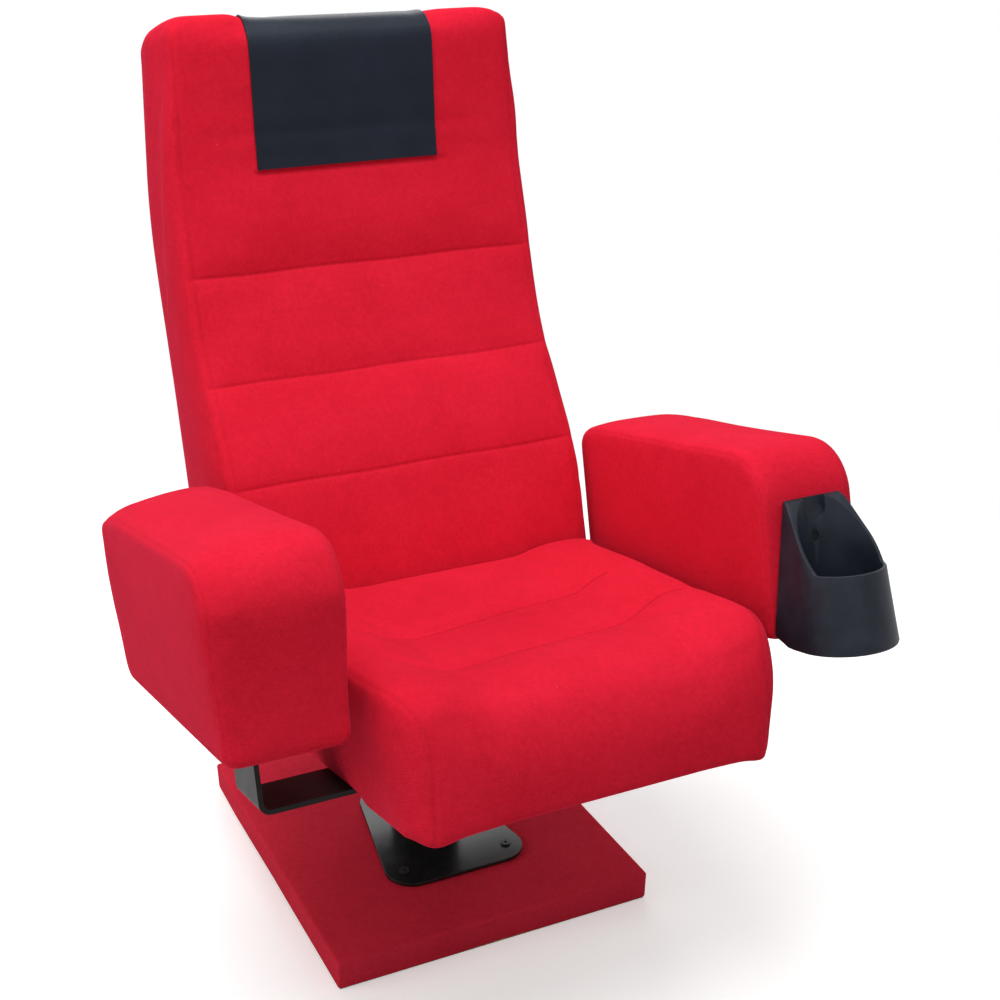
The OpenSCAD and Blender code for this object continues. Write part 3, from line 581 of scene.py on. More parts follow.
# ---------------------------------------------------------------- Foot plate
# A laser-cut steel plate with rounded corners, powder coated satin black, held down by four
# countersunk floor screws. The welded column stands on it.

powder, shader = finish_of("black_powder_coat", 0.5, specular=0.12)
place = place_of(powder)
peel = noise(powder, place, 420.0, 2.0)
dust = noise(powder, place, 35.0, 6.0, 0.7)
lay(powder, shader, "Base Color",
    between(powder, dust, (0.012, 0.0115, 0.012), (0.022, 0.021, 0.0205), 0.35, 0.75))
lay(powder, shader, "Roughness", maths(powder, "ADD", maths(powder, "MULTIPLY", dust, 0.25), 0.38))
raise_by(powder, shader, peel, 0.00025, 0.35)

glossy_powder, shader = finish_of("glossy_powder_coat", 0.24, specular=0.34)
place = place_of(glossy_powder)
peel = noise(glossy_powder, place, 300.0, 2.0)
dust = noise(glossy_powder, place, 60.0, 6.0, 0.7)
lay(glossy_powder, shader, "Base Color",
    between(glossy_powder, dust, (0.010, 0.010, 0.011), (0.024, 0.023, 0.023), 0.4, 0.8))
lay(glossy_powder, shader, "Roughness",
    maths(glossy_powder, "ADD", maths(glossy_powder, "MULTIPLY", dust, 0.16), 0.16))
raise_by(glossy_powder, shader, peel, 0.00015, 0.3)
eased("foot_plate_eased", ["foot_plate"], 0.0008, glossy_powder)

blacked, shader = finish_of("blackened_screws", 0.42, metallic=0.6, specular=0.5)
place = place_of(blacked)
scuff = noise(blacked, place, 500.0, 4.0, 0.6)
lay(blacked, shader, "Base Color",
    between(blacked, scuff, (0.02, 0.02, 0.022), (0.10, 0.10, 0.11), 0.45, 0.8))
dress(blacked, "foot_screws")

# ---------------------------------------------------------------- Pedestal and rocker
# A welded tube carries the rocker base. Its cheeks hold the pivot shaft that the seat's
# carrier turns on, between rubber stops and two oiled coil springs.

eased("pedestal_column_eased", ["pedestal_column"], 0, powder)
dress(powder, "rocker_base", "seat_carrier", "rear_strap", "pan_spacer", "left_back_bracket",
      "right_back_bracket", "back_frame", "cup_holder_screws")

zinc, shader = finish_of("bright_zinc", 0.3, metallic=1.0)
place = place_of(zinc)
spangle = noise(zinc, place, 900.0, 3.0)
lay(zinc, shader, "Base Color", between(zinc, spangle, (0.46, 0.46, 0.48), (0.66, 0.66, 0.68)))
lay(zinc, shader, "Roughness", maths(zinc, "ADD", maths(zinc, "MULTIPLY", spangle, 0.2), 0.2))
dress(zinc, "pivot_shaft", "shaft_circlips", "pan_bolts", "arm_bolts", "back_bolts")

wire, shader = finish_of("oiled_spring_wire", 0.32, metallic=1.0)
place = place_of(wire)
drawn = noise(wire, place, 300.0, 5.0, 0.7)
lay(wire, shader, "Base Color", between(wire, drawn, (0.16, 0.16, 0.17), (0.36, 0.36, 0.38)))
dress(wire, "return_springs")

rubber, shader = finish_of("stop_rubber", 0.8, specular=0.3)
place = place_of(rubber)
bloom = noise(rubber, place, 120.0, 5.0, 0.6)
lay(rubber, shader, "Base Color", between(rubber, bloom, (0.012, 0.012, 0.012), (0.035, 0.035, 0.034)))
raise_by(rubber, shader, bloom, 0.0002, 0.4)
dress(rubber, "front_buffers", "rear_buffer")

nylon, shader = finish_of("natural_nylon", 0.45, specular=0.4)
place = place_of(nylon)
cloudy = noise(nylon, place, 60.0, 4.0)
lay(nylon, shader, "Base Color", between(nylon, cloudy, (0.62, 0.59, 0.50), (0.74, 0.71, 0.63)))
dress(nylon, "pivot_bushes", "panel_clips")

plywood, shader = finish_of("birch_plywood", 0.7, specular=0.25)
place = place_of(plywood)
long_grain = add(plywood, "Mapping", {"Vector": place, "Scale": (1.0, 14.0, 14.0)}).outputs["Vector"]
grain = noise(plywood, long_grain, 22.0, 6.0, 0.65)
lay(plywood, shader, "Base Color", between(plywood, grain, (0.44, 0.29, 0.15), (0.70, 0.53, 0.33)))
raise_by(plywood, shader, grain, 0.0003, 0.4)
dress(plywood, "seat_pan", "back_board", "left_arm_core", "right_arm_core")

# ---------------------------------------------------------------- Arm bar
# One flat steel bar crosses under the seat, and its bent-up ends run into the arms. The CAD has
# it in three lengths, which are shown as one bar with its edges broken.

BUTT_X = (0.285, 0.30)


def make_arm_bar(names):
    """The three lengths in one, without the faces where they butt."""
    bar = eased("arm_bar", names, 0, powder)
    mesh = bmesh.new()
    mesh.from_mesh(bar.data)
    butt = [f for f in mesh.faces
            if abs(f.normal.x) > 0.99 and BUTT_X[0] < abs(f.calc_center_median().x) < BUTT_X[1]]
    bmesh.ops.delete(mesh, geom=butt, context="FACES")
    bmesh.ops.remove_doubles(mesh, verts=mesh.verts[:], dist=0.00005)
    bmesh.ops.dissolve_limit(mesh, angle_limit=math.radians(FLAT_ANGLE), verts=mesh.verts[:],
                             edges=mesh.edges[:])
    mesh.to_mesh(bar.data)
    mesh.free()
    apply(bar, "BEVEL", width=0.0011, segments=2, harden_normals=True,
          limit_method="ANGLE", angle_limit=math.radians(40))


make_arm_bar(["front_strap", "left_arm_upright", "right_arm_upright"])

# ---------------------------------------------------------------- Arms
# Each arm is a plywood core in moulded foam, in a sewn cover of brushed red cloth: two side
# panels, and one band that runs over the top and round the front and the underside.

ARM_Y = (-470.0, -28.0)
ARM_Z = (142.0, 364.0)
INNER_EDGE, OUTER_EDGE = 13.0, 24.0
NOSE_R, HEEL_R, TOP_R, LOW_R = 64.0, 32.0, 22.0, 12.0
ARM_SIDES = {-1: (326.0, 69.5), 1: (323.5, 67.5)}  # the middle and the half width of each


def arm_line():
    """An arm's outline from the side, from its low front corner up, over and back."""
    y, z = ARM_Y, ARM_Z
    return np.concatenate([
        arc((y[0] + LOW_R, z[0] + LOW_R), LOW_R, 225, 180, 4),
        run((y[0], z[0] + LOW_R), (y[0], z[1] - NOSE_R), 10),
        arc((y[0] + NOSE_R, z[1] - NOSE_R), NOSE_R, 180, 90, 14),
        run((y[0] + NOSE_R, z[1]), (y[1] - TOP_R, z[1]), 16),
        arc((y[1] - TOP_R, z[1] - TOP_R), TOP_R, 90, 0, 6),
        run((y[1], z[1] - TOP_R), (y[1], z[0] + HEEL_R), 8),
        arc((y[1] - HEEL_R, z[0] + HEEL_R), HEEL_R, 0, -90, 8),
        run((y[1] - HEEL_R, z[0]), (y[0] + LOW_R, z[0]), 20)])


def stuffed(ring, side, w):
    """The foam's own bulges on a hand-covered arm, given in the arm's own millimetres."""
    x, y, z = ring[:, 0] * side, ring[:, 1].copy(), ring[:, 2].copy()
    crown = 1 - np.clip(np.abs(x) / w, 0, 1) ** 3
    high = eased_step((z - ARM_Z[0] - 25) / 130)
    upper = eased_step((z - ARM_Z[1] + 40) / 30)
    behind = eased_step((y + 130) / 100)
    ring[:, 2] += 3.5 * crown * (z > ARM_Z[0] + 60)
    if side > 0:
        ring[:, 2] -= upper * (8 * eased_step((y + 90) / 60) + behind * 3 * eased_step((x + 40) / 100))
        ring[:, 2] += upper * 2.5 * eased_step((x + 20) / 60) * np.exp(-((y + 150) / 90) ** 2)
        return
    ahead = eased_step((-y - 330) / 110)
    ring[:, 1] -= ahead * (20 * np.clip((z - 165) / 140, 0, 1) ** 1.3 + 2 * crown)
    ring[:, 1] += 8 * high * eased_step((y + 70) / 40) * (1 - 0.5 * (x / w) ** 2)
    ring[:, 2] += upper * 5 * eased_step((30 - x) / 70) * (1 - behind)
    ring[:, 2] -= upper * 10 * behind * eased_step((x + 50) / 110)
    outer = eased_step((x - w + 12) / 12)
    inner = eased_step((-x - w + 12) / 12)
    ring[:, 0] += side * high * (9 * outer - 4 * inner * ahead)


def make_arm(side, name):
    line = arm_line()
    middle, w = ARM_SIDES[side]
    inner = np.full(len(line), INNER_EDGE)
    edges = {side: inner + (OUTER_EDGE - INNER_EDGE) * eased_step((line[:, 1] - 190) / 110), -side: inner}

    def band(s, a):
        ring = ring_at(line, w, edges[1 if s > 0 else -1], s, a)
        stuffed(ring, side, w)
        return ring

    pad = skin(name, [band(s, a) for s, a in stations(16)])
    set_points(pad, points_of(pad) + [side * middle / 1000, 0, 0])
    seams = []
    for s in (-1, 1):
        ring = band(s, 36) / 1000 + [side * middle / 1000, 0, 0]
        seams += fine(np.concatenate([ring, ring[:1]]))
    under = lambda co: co[:, 2] < (ARM_Z[0] + 5) / 1000
    fill(pad, seams, under, 0.005)
    sew(pad, seams, 0.0005, 0.0020, 0.0002, 0.006, 0.2 if side < 0 else 0.12)
    if side > 0:  # it lies flat where the cup holder is screwed on
        co = points_of(pad)
        co[:, 1] = np.maximum(co[:, 1], (ARM_Y[0] - 0.1) / 1000)
        set_points(pad, co)
    cover(pad, red_cloth, "left_arm_pad" if side < 0 else "right_arm_pad")


make_arm(-1, "left_arm_cover")
make_arm(1, "right_arm_cover")

# ---------------------------------------------------------------- Cup holder
# One moulding in dark slate plastic with a fine spark texture: a round well behind a flared
# skirt, a sloping rim and a thumb notch. Two screws hold it to the arm's core.

plastic, shader = finish_of("slate_plastic", 0.46, specular=0.2)
place = place_of(plastic)
spark = noise(plastic, place, 1500.0, 2.0)
haze = noise(plastic, place, 30.0, 5.0, 0.6)
lay(plastic, shader, "Base Color", between(plastic, haze, (0.009, 0.0115, 0.019), (0.018, 0.0220, 0.034)))
raise_by(plastic, shader, spark, 0.00018, 0.5)

CUP_X, CUP_BACK, CUP_Y, CUP_R = 321.0, -470.4, -522.4, 46.0
CUP_LOW, CUP_DECK, CUP_RIM, CUP_TOP = 143.0, 147.0, 233.0, 308.0
RIM_Y = (-537.4, -478.4)
NOTCH_R = 14.5
CUP_SCREW_R, CUP_SCREWS_Z = 5.2, (175, 261)


def cup_plan(big, end, corner):
    """The holder's outline round its well: a front arc, two sides, and the flat back."""
    wide = CUP_BACK - CUP_Y
    a = np.radians(np.linspace(-end, end, 49))
    front = np.stack([big * np.sin(a), -big * np.cos(a)], 1)
    end_of = front[-1]
    side = np.array([end_of + ([corner, wide - 4] - end_of) * t for t in np.linspace(0.2, 1, 5)])
    turn = np.array([[corner - 0.6, wide - 1.8], [corner - 1.8, wide - 0.6]])
    behind = np.stack([np.linspace(corner - 4, 4 - corner, 11), np.full(11, wide)], 1)
    mirror = np.array([-1.0, 1.0])
    return np.concatenate([front, side, turn, behind, turn[::-1] * mirror, side[::-1] * mirror])


def cup_ring(plan, z, drop=0.0):
    """The outline at a height, or with None along the sloping rim."""
    if z is None:
        slope = np.clip((plan[:, 1] + CUP_Y - RIM_Y[0]) / (RIM_Y[1] - RIM_Y[0]), 0, 1)
        z = CUP_RIM + (CUP_TOP - CUP_RIM) * slope - drop
    return np.stack([plan[:, 0] + CUP_X, plan[:, 1] + CUP_Y, z * np.ones(len(plan))], 1)


def inward(plan, by):
    """The outline drawn in towards the well's middle."""
    return plan * (1 - by / np.linalg.norm(plan, axis=1))[:, None]


def rod(x, z, r, y, depth):
    """A round cutter that runs forward from y."""
    bpy.ops.object.select_all(action="DESELECT")
    bpy.ops.mesh.primitive_cylinder_add(vertices=40, radius=r / 1000, depth=depth / 1000,
                                        location=(x / 1000, (y - depth / 2) / 1000, z / 1000),
                                        rotation=(math.pi / 2, 0, 0))
    return bpy.context.active_object


def make_cup():
    foot, brim = cup_plan(60, 86, 62), cup_plan(50.5, 99, 39)
    raised = 9 * eased_step((foot[:, 1] - 22) / 28)
    well = brim * (CUP_R / np.linalg.norm(brim, axis=1))[:, None]
    rings = [cup_ring(inward(foot, 15), CUP_LOW), cup_ring(inward(foot, 3), CUP_LOW + raised),
             cup_ring(inward(foot, 0.8), CUP_LOW + 0.5 + raised), cup_ring(foot, CUP_LOW + 2.5 + raised)]
    first, last = rings[-1], cup_ring(brim, None, 1.6)
    rings += [first + (last - first) * t for t in (0.2, 0.4, 0.6, 0.8, 1)]
    rings += [cup_ring(inward(brim, 0.4), None, 0.5), cup_ring(inward(brim, 1.4), None),
              cup_ring(inward(well, -1.2), None), cup_ring(inward(well, -0.35), None, 0.4),
              cup_ring(well, None, 1.4)]
    first, last = rings[-1], cup_ring(well, CUP_DECK + 6)
    rings += [first + (last - first) * t for t in (0.3, 0.6, 1)]
    rings += [cup_ring(inward(well, 1.8), CUP_DECK + 1.8), cup_ring(inward(well, 6), CUP_DECK),
              cup_ring(inward(well, 30), CUP_DECK)]
    holder = skin("cup_holder_moulding", rings)
    # The thumb notch and the two screw recesses in the back wall
    take_out(holder, rod(CUP_X, CUP_TOP - 14, NOTCH_R, CUP_BACK - 2.2, 30))
    bpy.ops.object.select_all(action="DESELECT")
    above = (CUP_X / 1000, (CUP_BACK - 17.2) / 1000, CUP_TOP / 1000 + 0.004)
    bpy.ops.mesh.primitive_cube_add(size=1, location=above)
    slot = bpy.context.active_object
    slot.scale = (2 * NOTCH_R / 1000, 0.030, 0.036)
    bpy.ops.object.transform_apply(location=True, rotation=True, scale=True)
    take_out(holder, slot)
    for z in CUP_SCREWS_Z:
        take_out(holder, rod(CUP_X, z, CUP_SCREW_R, CUP_BACK - 2.5, 12))
    apply(holder, "BEVEL", width=0.0008, segments=2, limit_method="ANGLE", angle_limit=math.radians(55))
    set_points(holder, seat_to_world(points_of(holder) * 1000))
    bpy.ops.object.shade_smooth_by_angle(angle=math.radians(35))
    holder.data.materials.append(plastic)
    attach(holder, "seat")
    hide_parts("cup_holder")


make_cup()

# ---------------------------------------------------------------- Seat cushion
# Moulded foam on a plywood pan, in a sewn cover: a top and front panel crossed by two sewn
# channels, and a boxing strip on each side. The cover is stapled under the pan.

SEAT_HALF = 236.5
SEAT_FRONT = 540.0
SEAT_CORNER = 50.0
BARS_TOP = 48.0
PAN_T, PAN_HALF, PAN_FRONT, PAN_BACK, PLAY = 12.0, 220.0, 506.0, 80.0, 0.4
SEAT_Y = (-66.0, -458.0)


def seat_top(t):
    return 212 - 34 * t - 8 * np.sin(np.pi * t)


def seat_line():
    """The seat's outline from the side, from its rear top edge forward, down and back under the pan."""
    t = np.linspace(0.02, 0.99, 46)
    top = np.stack([SEAT_Y[0] + (SEAT_Y[1] - SEAT_Y[0]) * t, seat_top(t)], 1)
    front = curve_through([[-466, 177.5], [-492, 175], [-514, 167], [-530, 152], [-538, 128],
                           [-540, 96], [-539, 62], [-536, 52], [-526, 48]], 6)
    n = len(top) + len(front)
    bottom = np.stack([-523 + 457 * np.arange(1, n + 1) / n, np.full(n, BARS_TOP)], 1)
    return np.concatenate([top, front, bottom])


# The two sewn channels in plan, and the side seams over the top and down the front
CHANNELS = [[(-165, -250), (-130, -264), (-85, -268), (-41, -260), (2, -252), (38, -244), (79, -240),
             (112, -239), (131, -240), (150, -238), (172, -238)],
            [(-176, -372), (-150, -387), (-122, -396), (-84, -398), (-45, -388), (10, -381), (66, -377),
             (112, -372), (135, -368), (160, -362), (185, -357), (212, -355)]]
SIDE_SEAM = [[231, -70, 214], [232, -250, 207], [231, -340, 201], [229, -400, 196], [225, -450, 194],
             [219, -490, 190], [212, -522, 181], [206, -537, 160], [205, -541, 134], [206, -541, 100],
             [208, -539, 66], [210, -536, 36]]
SEAT_SINK = 0.0035


def make_seat():
    line = seat_line()
    w = SEAT_HALF - 9 * eased_step((190 - line[:, 1]) / 142)
    r = np.where(np.arange(len(line)) < len(line) / 2, 22.0, 8.0)
    rings = [ring_at(line, w, r, s, a) for s, a in stations(33)]
    for ring in rings:
        x = np.abs(ring[:, 0])
        over = np.maximum(x - SEAT_HALF + SEAT_CORNER, 0)
        shift = SEAT_CORNER - np.sqrt(np.maximum(SEAT_CORNER ** 2 - over ** 2, 0))
        ring[:, 1] += shift * eased_step((-ring[:, 1] - SEAT_FRONT / 2) / (SEAT_FRONT / 2))
        low = eased_step((98 - ring[:, 2]) / 50)
        tucked = eased_step((ring[:, 0] - 150) / 70) * eased_step((-452 - ring[:, 1]) / 50)
        ring[:, 0] -= 14 * tucked * eased_step((125 - ring[:, 2]) / 85)
        side_hang = eased_step((x - 195) / 25) * eased_step((-350 - ring[:, 1]) / 40)
        front_hang = eased_step((-495 - ring[:, 1]) / 20) * (0.75 + 0.25 * eased_step((x - 110) / 90))
        tip = 0.55 * np.exp(-((x - 204) / 13) ** 2) * eased_step((-505 - ring[:, 1]) / 25)
        ring[:, 2] -= 11 * low * (np.maximum(0.9 * side_hang, front_hang) + tip)
        t = (ring[:, 1] - SEAT_Y[0]) / (SEAT_Y[1] - SEAT_Y[0])
        bolster = eased_step((x - 108) / (62 + 26 * np.clip(t, 0, 1)))
        bolster = bolster * (9.5 + 12 * eased_step(t / 0.45))
        ring[:, 2] += bolster * eased_step((ring[:, 2] - 88) / 75)
    pad = skin("seat_cover", rings)
    tree = BVHTree.FromObject(pad, bpy.context.evaluated_depsgraph_get())
    seams, channels = [], []
    for knots in CHANNELS:
        channels += fine(cast(tree, [Vector((x / 1000, y / 1000, 0.4)) for x, y in curve_through(knots, 12)],
                              Vector((0, 0, -1))))
    for s in (-1, 1):
        seams += fine([tree.find_nearest(Vector((s * x, y, z)) / 1000)[0]
                       for x, y, z in curve_through(SIDE_SEAM, 10)])
    # The cover is drawn down along each channel before the foam fills it
    start = remesh(pad)
    up = normals_of(pad)[:, 2] > 0.5
    start[:, 2] -= SEAT_SINK * np.exp(-(near(start, channels) / 0.016) ** 2) * up
    # and it wraps the pan's edge
    round_corner = np.maximum(-(PAN_FRONT - SEAT_CORNER) - start[:, 1] * 1000, 0)
    edge = PAN_HALF - SEAT_CORNER + np.sqrt(np.maximum(SEAT_CORNER ** 2 - round_corner ** 2, 0))
    edge /= 1000
    across = np.abs(start[:, 0])
    wrapped = (start[:, 2] < 0.068) & (across > edge - 0.018) & (start[:, 1] > -0.503)
    start[:, 0] = np.where(wrapped, np.copysign(np.maximum(across, edge + 0.004), start[:, 0]), start[:, 0])
    set_points(pad, start)
    drawn = [p - Vector((0, 0, SEAT_SINK)) for p in channels]
    held = lambda c: (c[:, 2] < (BARS_TOP + 6) / 1000) | (c[:, 1] > -0.070)
    fill(pad, drawn + seams, held, 0.007)
    sew(pad, drawn, 0.0022, 0.0019, 0.0008, 0.008, 0.75)
    return pad, seams


seat, seat_seams = make_seat()
press_in(seat, seat_seams, 0.0008, 0.0028, dark=0.25)
hollow(seat, (-PAN_HALF - PLAY, -PAN_FRONT - PLAY, 20),
       (PAN_HALF + PLAY, PLAY - PAN_BACK, BARS_TOP + PAN_T + PLAY), SEAT_CORNER)
cover(seat, red_cloth, "seat_cushion")

# ---------------------------------------------------------------- Back
# Moulded foam before a plywood board on a tube frame. The cover's front panel has three sewn
# channels, and a boxing strip runs up each side and over the top. The rear panel clips on.

BACK_TOP = 932.0
SHOULDER = BACK_TOP - 36
EDGE_R = 15.0
BACK_LOW = 56.0
CAVITY_X = 221.0
CAVITY_Z = (78.0, BACK_TOP - 52)
CHANNEL_Z = (352, 478, 613)
BACK_SINK = 0.0032
# Its outline from the side: the front face, the crown and the rear face
FRONT = curve_through([[-64, BACK_LOW], [-64, 150], [-62, 235], [-59, 300], [-46, 360], [-14, 440],
                       [14, 505], [27, 570], [31, 650], [34, 735], [28, 790], [20, 840], [13, 885],
                       [11, 902]], 8)
REAR = curve_through([[145, BACK_LOW], [146, 200], [150, 340], [155, 480], [164, 590], [170, 670],
                      [163, 745], [140, 830], [118, 895]], 8)
CROWN = curve_through([[11.5, 902], [12.5, 911], [16, 918.5], [23, 923.5], [34, 925], [52, 921],
                       [78, 911], [101, 902]], 4)


def front_y(z):
    return np.interp(z, FRONT[:, 1], FRONT[:, 0])


def rear_y(z):
    return np.interp(z, REAR[:, 1], REAR[:, 0])


def back_half(z):
    return 242.5 + 5 * eased_step((BACK_TOP - 60 - z) / 300)


def make_back():
    zs = np.linspace(BACK_LOW + 2, SHOULDER, 90)
    line = np.concatenate([np.stack([front_y(zs), zs], 1), CROWN, np.stack([rear_y(zs[::-1]), zs[::-1]], 1)])
    w = back_half(line[:, 1])
    out = outward_of(line)
    behind = eased_step((line[:, 0] - 25) / 70)
    top = np.maximum(out[:, 1], 0)
    rings = []
    for s, a in stations(21):
        # The top corners are rounder in front than behind, and rounder on the right
        front_r, change = (12, -10) if s < 0 else (26, -18)
        ring = ring_at(line, w, EDGE_R + (front_r + change * behind) * top ** 2, s, a)
        x = ring[:, 0].copy()
        ring[:, 1] -= (out[:, 0] < -0.3) * 3 * (1 - (x / w) ** 4)
        # The cloth swells a little beside the head cover
        beside = np.where(x < 0, 8.5 * eased_step((-x - 129) / 22), 3 * eased_step((x - 114) / 25))
        beside += 9 * eased_step((-x - 150) / 70) * eased_step((ring[:, 1] - 30) / 65)
        ring[:, 2] += beside * top
        ring[:, 0] *= 1 - 0.042 * eased_step((ring[:, 2] - 770) / 120) * eased_step((80 - ring[:, 1]) / 60)
        rings.append(ring)
    pad = skin("back_cover", rings)
    tree = BVHTree.FromObject(pad, bpy.context.evaluated_depsgraph_get())
    channels, seams = [], []
    for z in CHANNEL_Z:
        reach = back_half(z) - 12
        channels += fine(cast(tree, [Vector((x / 1000, -0.4, (z + 0.7 * math.sin(x / 31 + z)) / 1000))
                                     for x in np.linspace(-reach, reach, 90)], BACKWARD))
    for s in (-1, 1):
        seams += fine(cast(tree, [Vector((s * (back_half(z) - 16) / 1000, -0.4, z / 1000))
                                  for z in np.linspace(70, 900, 120)], BACKWARD))
    start = remesh(pad)
    facing = normals_of(pad)[:, 1] < -0.4
    fade = eased_step((back_half(start[:, 2] * 1000) - 6 - np.abs(start[:, 0]) * 1000) / 28)
    start[:, 1] += BACK_SINK * np.exp(-(near(start, channels) / 0.020) ** 2) * facing * fade
    set_points(pad, start)
    drawn = [p + Vector((0, BACK_SINK, 0)) for p in channels]
    held = lambda c: (c[:, 1] > rear_y(c[:, 2] * 1000) / 1000 - 0.02) | (c[:, 2] < (BACK_LOW + 10) / 1000)
    fill(pad, drawn + seams, held, 0.007)
    sew(pad, drawn, 0.0013, 0.0024, 0.0008, 0.009, 0.4)
    return pad, seams


back, back_seams = make_back()
press_in(back, back_seams, 0.0009, 0.0045, dark=0.25)
# The head cover's stitched lower edge draws the cloth in a little below it, with painted shade along that
# crease
COVER_X = (-132.5, 113.5)
COVER_LOW = BACK_TOP - 191
back_tree = BVHTree.FromObject(back, bpy.context.evaluated_depsgraph_get())
below_it = cast(back_tree, [Vector((x / 1000, -0.4, (COVER_LOW - 5) / 1000))
                            for x in np.linspace(COVER_X[0] - 2, COVER_X[1] + 12, 60)], BACKWARD)
press_in(back, fine(below_it), 0.0018, 0.0035, dark=0.2)
back_tree = BVHTree.FromObject(back, bpy.context.evaluated_depsgraph_get())
hollow(back, (-CAVITY_X, 100, CAVITY_Z[0]), (CAVITY_X, 300, CAVITY_Z[1]))
hollow(back, (-212, 88, 0), (212, 300, CAVITY_Z[0] + 1))
cover(back, red_cloth, "back_cushion")

# ---------------------------------------------------------------- Rear panel
# A board with thin foam and cloth pulled round its edges, pressed on to clips in the rear of
# the back. It follows the rear face and swells a little.

PANEL_T, PANEL_EDGE, PANEL_HALF = 13.9, 4.0, CAVITY_X - 1.0
panel_cloth = brushed_cloth("rear_panel_cloth", (0.48, 0.0080, 0.019), (0.66, 0.0150, 0.037))


def make_panel():
    zs = np.linspace(CAVITY_Z[0] + 1.2, CAVITY_Z[1] - 1.2, 60)
    outer = np.stack([rear_y(zs) - 0.6, zs], 1)
    inner = outer[::-1] - [PANEL_T, 0]
    line = np.concatenate([outer, inner])
    r = np.full(len(line), PANEL_EDGE)
    panel = skin("rear_panel_cover", [ring_at(line, PANEL_HALF, r, s, a) for s, a in stations(15)])
    co = points_of(panel) * 1000
    half_height = (CAVITY_Z[1] - CAVITY_Z[0]) / 2
    swell = 1 - ((co[:, 2] - np.mean(CAVITY_Z)) / half_height) ** 4
    swell *= 2.2 * (1 - (co[:, 0] / PANEL_HALF) ** 4)
    co[:, 1] += np.where(co[:, 1] > rear_y(co[:, 2]) - 6, np.maximum(swell, 0), 0)
    set_points(panel, co / 1000)
    panel.data.attributes.new("seam_shade", "FLOAT", "POINT")
    cover(panel, panel_cloth, "rear_panel")


make_panel()

# ---------------------------------------------------------------- Head cover
# A strip of black leatherette hung over the top of the back, hemmed and held down by a hook
# tape at the front and behind. It lies close on the cloth.

hide, shader = finish_of("black_leatherette", 0.5, specular=0.2)
# A bluish specular tint paints a sky's blue into its reflections
shader.inputs["Specular Tint"].default_value = (0.72, 0.86, 1.0, 1)
place = place_of(hide)
pebble = add(hide, "TexVoronoi", {"Vector": place, "Scale": 620.0, "Randomness": 0.9},
             feature="SMOOTH_F1").outputs["Distance"]
fold_noise = noise(hide, place, 240.0, 5.0, 0.6)
tone = noise(hide, place, 14.0, 4.0)
lay(hide, shader, "Base Color", between(hide, tone, (0.0048, 0.0060, 0.0110), (0.0092, 0.0112, 0.0200)))
lay(hide, shader, "Roughness", maths(hide, "ADD", maths(hide, "MULTIPLY", fold_noise, 0.2), 0.36))
first = raise_by(hide, shader, pebble, 0.0006, 0.45)
raise_by(hide, shader, fold_noise, 0.0004, 0.35, under=first)

HIDE_T = 0.0016
REAR_DROP = 120


def make_head_cover():
    zs = np.linspace(COVER_LOW, SHOULDER, 44)
    down = np.linspace(SHOULDER, BACK_TOP - REAR_DROP, 26)
    line = np.concatenate([np.stack([front_y(zs), zs], 1), CROWN, np.stack([rear_y(down), down], 1)])
    e = np.gradient(line, axis=0)
    out = np.stack([-e[:, 1], e[:, 0]], 1)
    out /= np.linalg.norm(out, axis=1)[:, None]
    out *= np.sign(out[0, 0] * -1) or 1
    cols = np.linspace(COVER_X[0], COVER_X[1], 50)
    bpy.ops.object.select_all(action="DESELECT")
    bpy.ops.mesh.primitive_grid_add(x_subdivisions=len(cols) - 1, y_subdivisions=len(line) - 1, size=1)
    strip = bpy.context.active_object
    strip.name = "head_cover_leatherette"
    points = []
    for j in range(len(line)):
        for x in cols:
            p = Vector((x / 1000, line[j, 0] / 1000, line[j, 1] / 1000))
            n = Vector((0, out[j, 0], out[j, 1]))
            hit = back_tree.ray_cast(p + n * 0.04, -n)[0]
            points.append((hit if hit else p) + n * 0.0013)
    set_points(strip, np.array(points))
    face_out(strip)
    # An open sheet has no inside, so it is turned if its front faces the back
    if sum(f.normal.y for f in strip.data.polygons if f.center.z < 0.8) > 0:
        strip.data.flip_normals()
    apply(strip, "SOLIDIFY", thickness=HIDE_T, offset=1)
    set_points(strip, seat_to_world(points_of(strip) * 1000))
    bpy.ops.object.shade_smooth_by_angle(angle=math.radians(40))
    strip.data.materials.append(hide)
    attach(strip, "seat")
    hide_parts("head_cover")


make_head_cover()

# ---------------------------------------------------------------- Studio
# A pale floor that runs out into a white world, large soft lamps, and a camera where the
# photograph was taken from.

bpy.ops.object.select_all(action="DESELECT")
bpy.ops.mesh.primitive_plane_add(size=16, location=(0, 2.0, -0.0002))
floor = bpy.context.active_object
floor.name = "studio_floor"
bpy.ops.object.transform_apply(location=True, rotation=True, scale=True)
pale, shader = finish_of("pale_floor", 0.9, specular=0.0)
shader.inputs["Base Color"].default_value = (0.93, 0.93, 0.93, 1)
softer = add(pale, "BsdfDiffuse", {"Color": (0.60, 0.60, 0.60, 1)})
path = add(pale, "LightPath")
seen = maths(pale, "MAXIMUM", path.outputs["Is Camera Ray"], path.outputs["Is Glossy Ray"])
glow = add(pale, "Emission", {"Color": (1, 1, 1, 1), "Strength": 0.42})
both = add(pale, "AddShader", {0: shader.outputs[0], 1: glow.outputs[0]})
mix = add(pale, "MixShader", {0: seen, 1: softer.outputs[0], 2: both.outputs[0]})
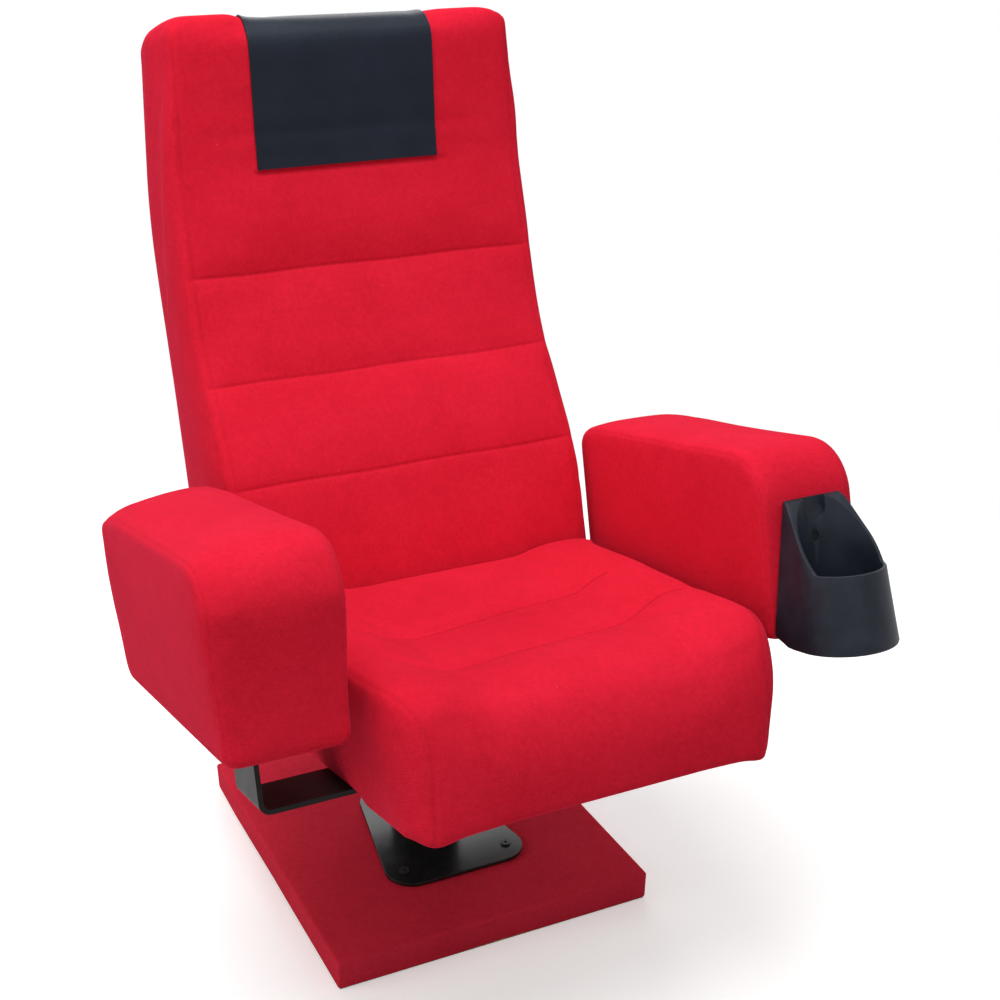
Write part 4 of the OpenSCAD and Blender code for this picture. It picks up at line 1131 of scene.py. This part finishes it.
# Away from the seat's shadow the floor runs out into the white of the background
reach = add(pale, "VectorMath", {0: place_of(pale)}, operation="LENGTH").outputs["Value"]
far = add(pale, "MapRange", {"Value": reach, "From Min": 0.75, "From Max": 1.7},
          interpolation_type="SMOOTHSTEP")
far_seen = maths(pale, "MULTIPLY", far.outputs["Result"], seen)
paper = add(pale, "Emission", {"Color": (1, 1, 1, 1), "Strength": 1.0})
out_there = add(pale, "MixShader", {0: far_seen, 1: mix.outputs[0], 2: paper.outputs[0]})
lay(pale, pale.node_tree.nodes["Material Output"], "Surface", out_there.outputs[0])
floor.data.materials.append(pale)
floor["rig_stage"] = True

world = bpy.data.worlds.new("studio")
bpy.context.scene.world = world
world.use_nodes = True
sky = world.node_tree.nodes["Background"]
sky.inputs["Color"].default_value = (1, 1, 1, 1)
sky.inputs["Strength"].default_value = 0.26
white = add(world, "Background", {"Color": (1, 1, 1, 1), "Strength": 1.0})
paths = add(world, "LightPath").outputs
shown = maths(world, "MAXIMUM", paths["Is Camera Ray"], paths["Is Transmission Ray"])
shown = maths(world, "MAXIMUM", shown, paths["Is Glossy Ray"])
blend = add(world, "MixShader", {0: shown, 1: sky.outputs[0], 2: white.outputs[0]})
lay(world, world.node_tree.nodes["World Output"], "Surface", blend.outputs[0])


def lamp(name, place, target, size, power):
    """A large soft round lamp, aimed at the target."""
    data = bpy.data.lights.new(name, "AREA")
    data.shape, data.size, data.energy = "DISK", size, power
    light = bpy.data.objects.new(name, data)
    bpy.context.scene.collection.objects.link(light)
    light.location = place
    light.visible_camera = False
    light.rotation_euler = (Vector(target) - Vector(place)).to_track_quat("-Z", "Y").to_euler()


lamp("overhead", (-0.4, -0.5, 3.3), (0.0, 0.0, 0.4), 2.6, 87)
lamp("front_fill", (-0.6, -3.6, 2.6), (0.0, 0.0, 0.5), 2.4, 12)
lamp("left_fill", (-3.4, 0.4, 1.6), (0.0, 0.0, 0.5), 2.0, 28)
lamp("behind", (0.9, 3.2, 2.6), (0.0, 0.0, 0.6), 2.8, 40)

EYE = (-0.7734, -1.796, 1.3703)
FOCAL_PX, PICTURE_PX, SENSOR = 1653, 1000, 36
YAW, PITCH, ROLL = math.radians(26.24), math.radians(23.23), math.radians(-0.62)
ahead = Vector((math.sin(YAW) * math.cos(PITCH), math.cos(YAW) * math.cos(PITCH), -math.sin(PITCH)))
level_right = Vector((math.cos(YAW), -math.sin(YAW), 0))
down = ahead.cross(level_right)
right = level_right * math.cos(ROLL) + down * math.sin(ROLL)
below = down * math.cos(ROLL) - level_right * math.sin(ROLL)
camera = bpy.data.objects.new("camera", bpy.data.cameras.new("camera"))
bpy.context.scene.collection.objects.link(camera)
camera.data.sensor_width = SENSOR
camera.data.lens = FOCAL_PX / PICTURE_PX * SENSOR
camera.data.clip_end = 50
turn = Matrix((right, -below, -ahead)).transposed()
camera.matrix_world = Matrix.Translation(EYE) @ turn.to_4x4()
bpy.context.scene.camera = camera
bpy.context.scene.view_settings.view_transform = "Standard"

low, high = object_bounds()
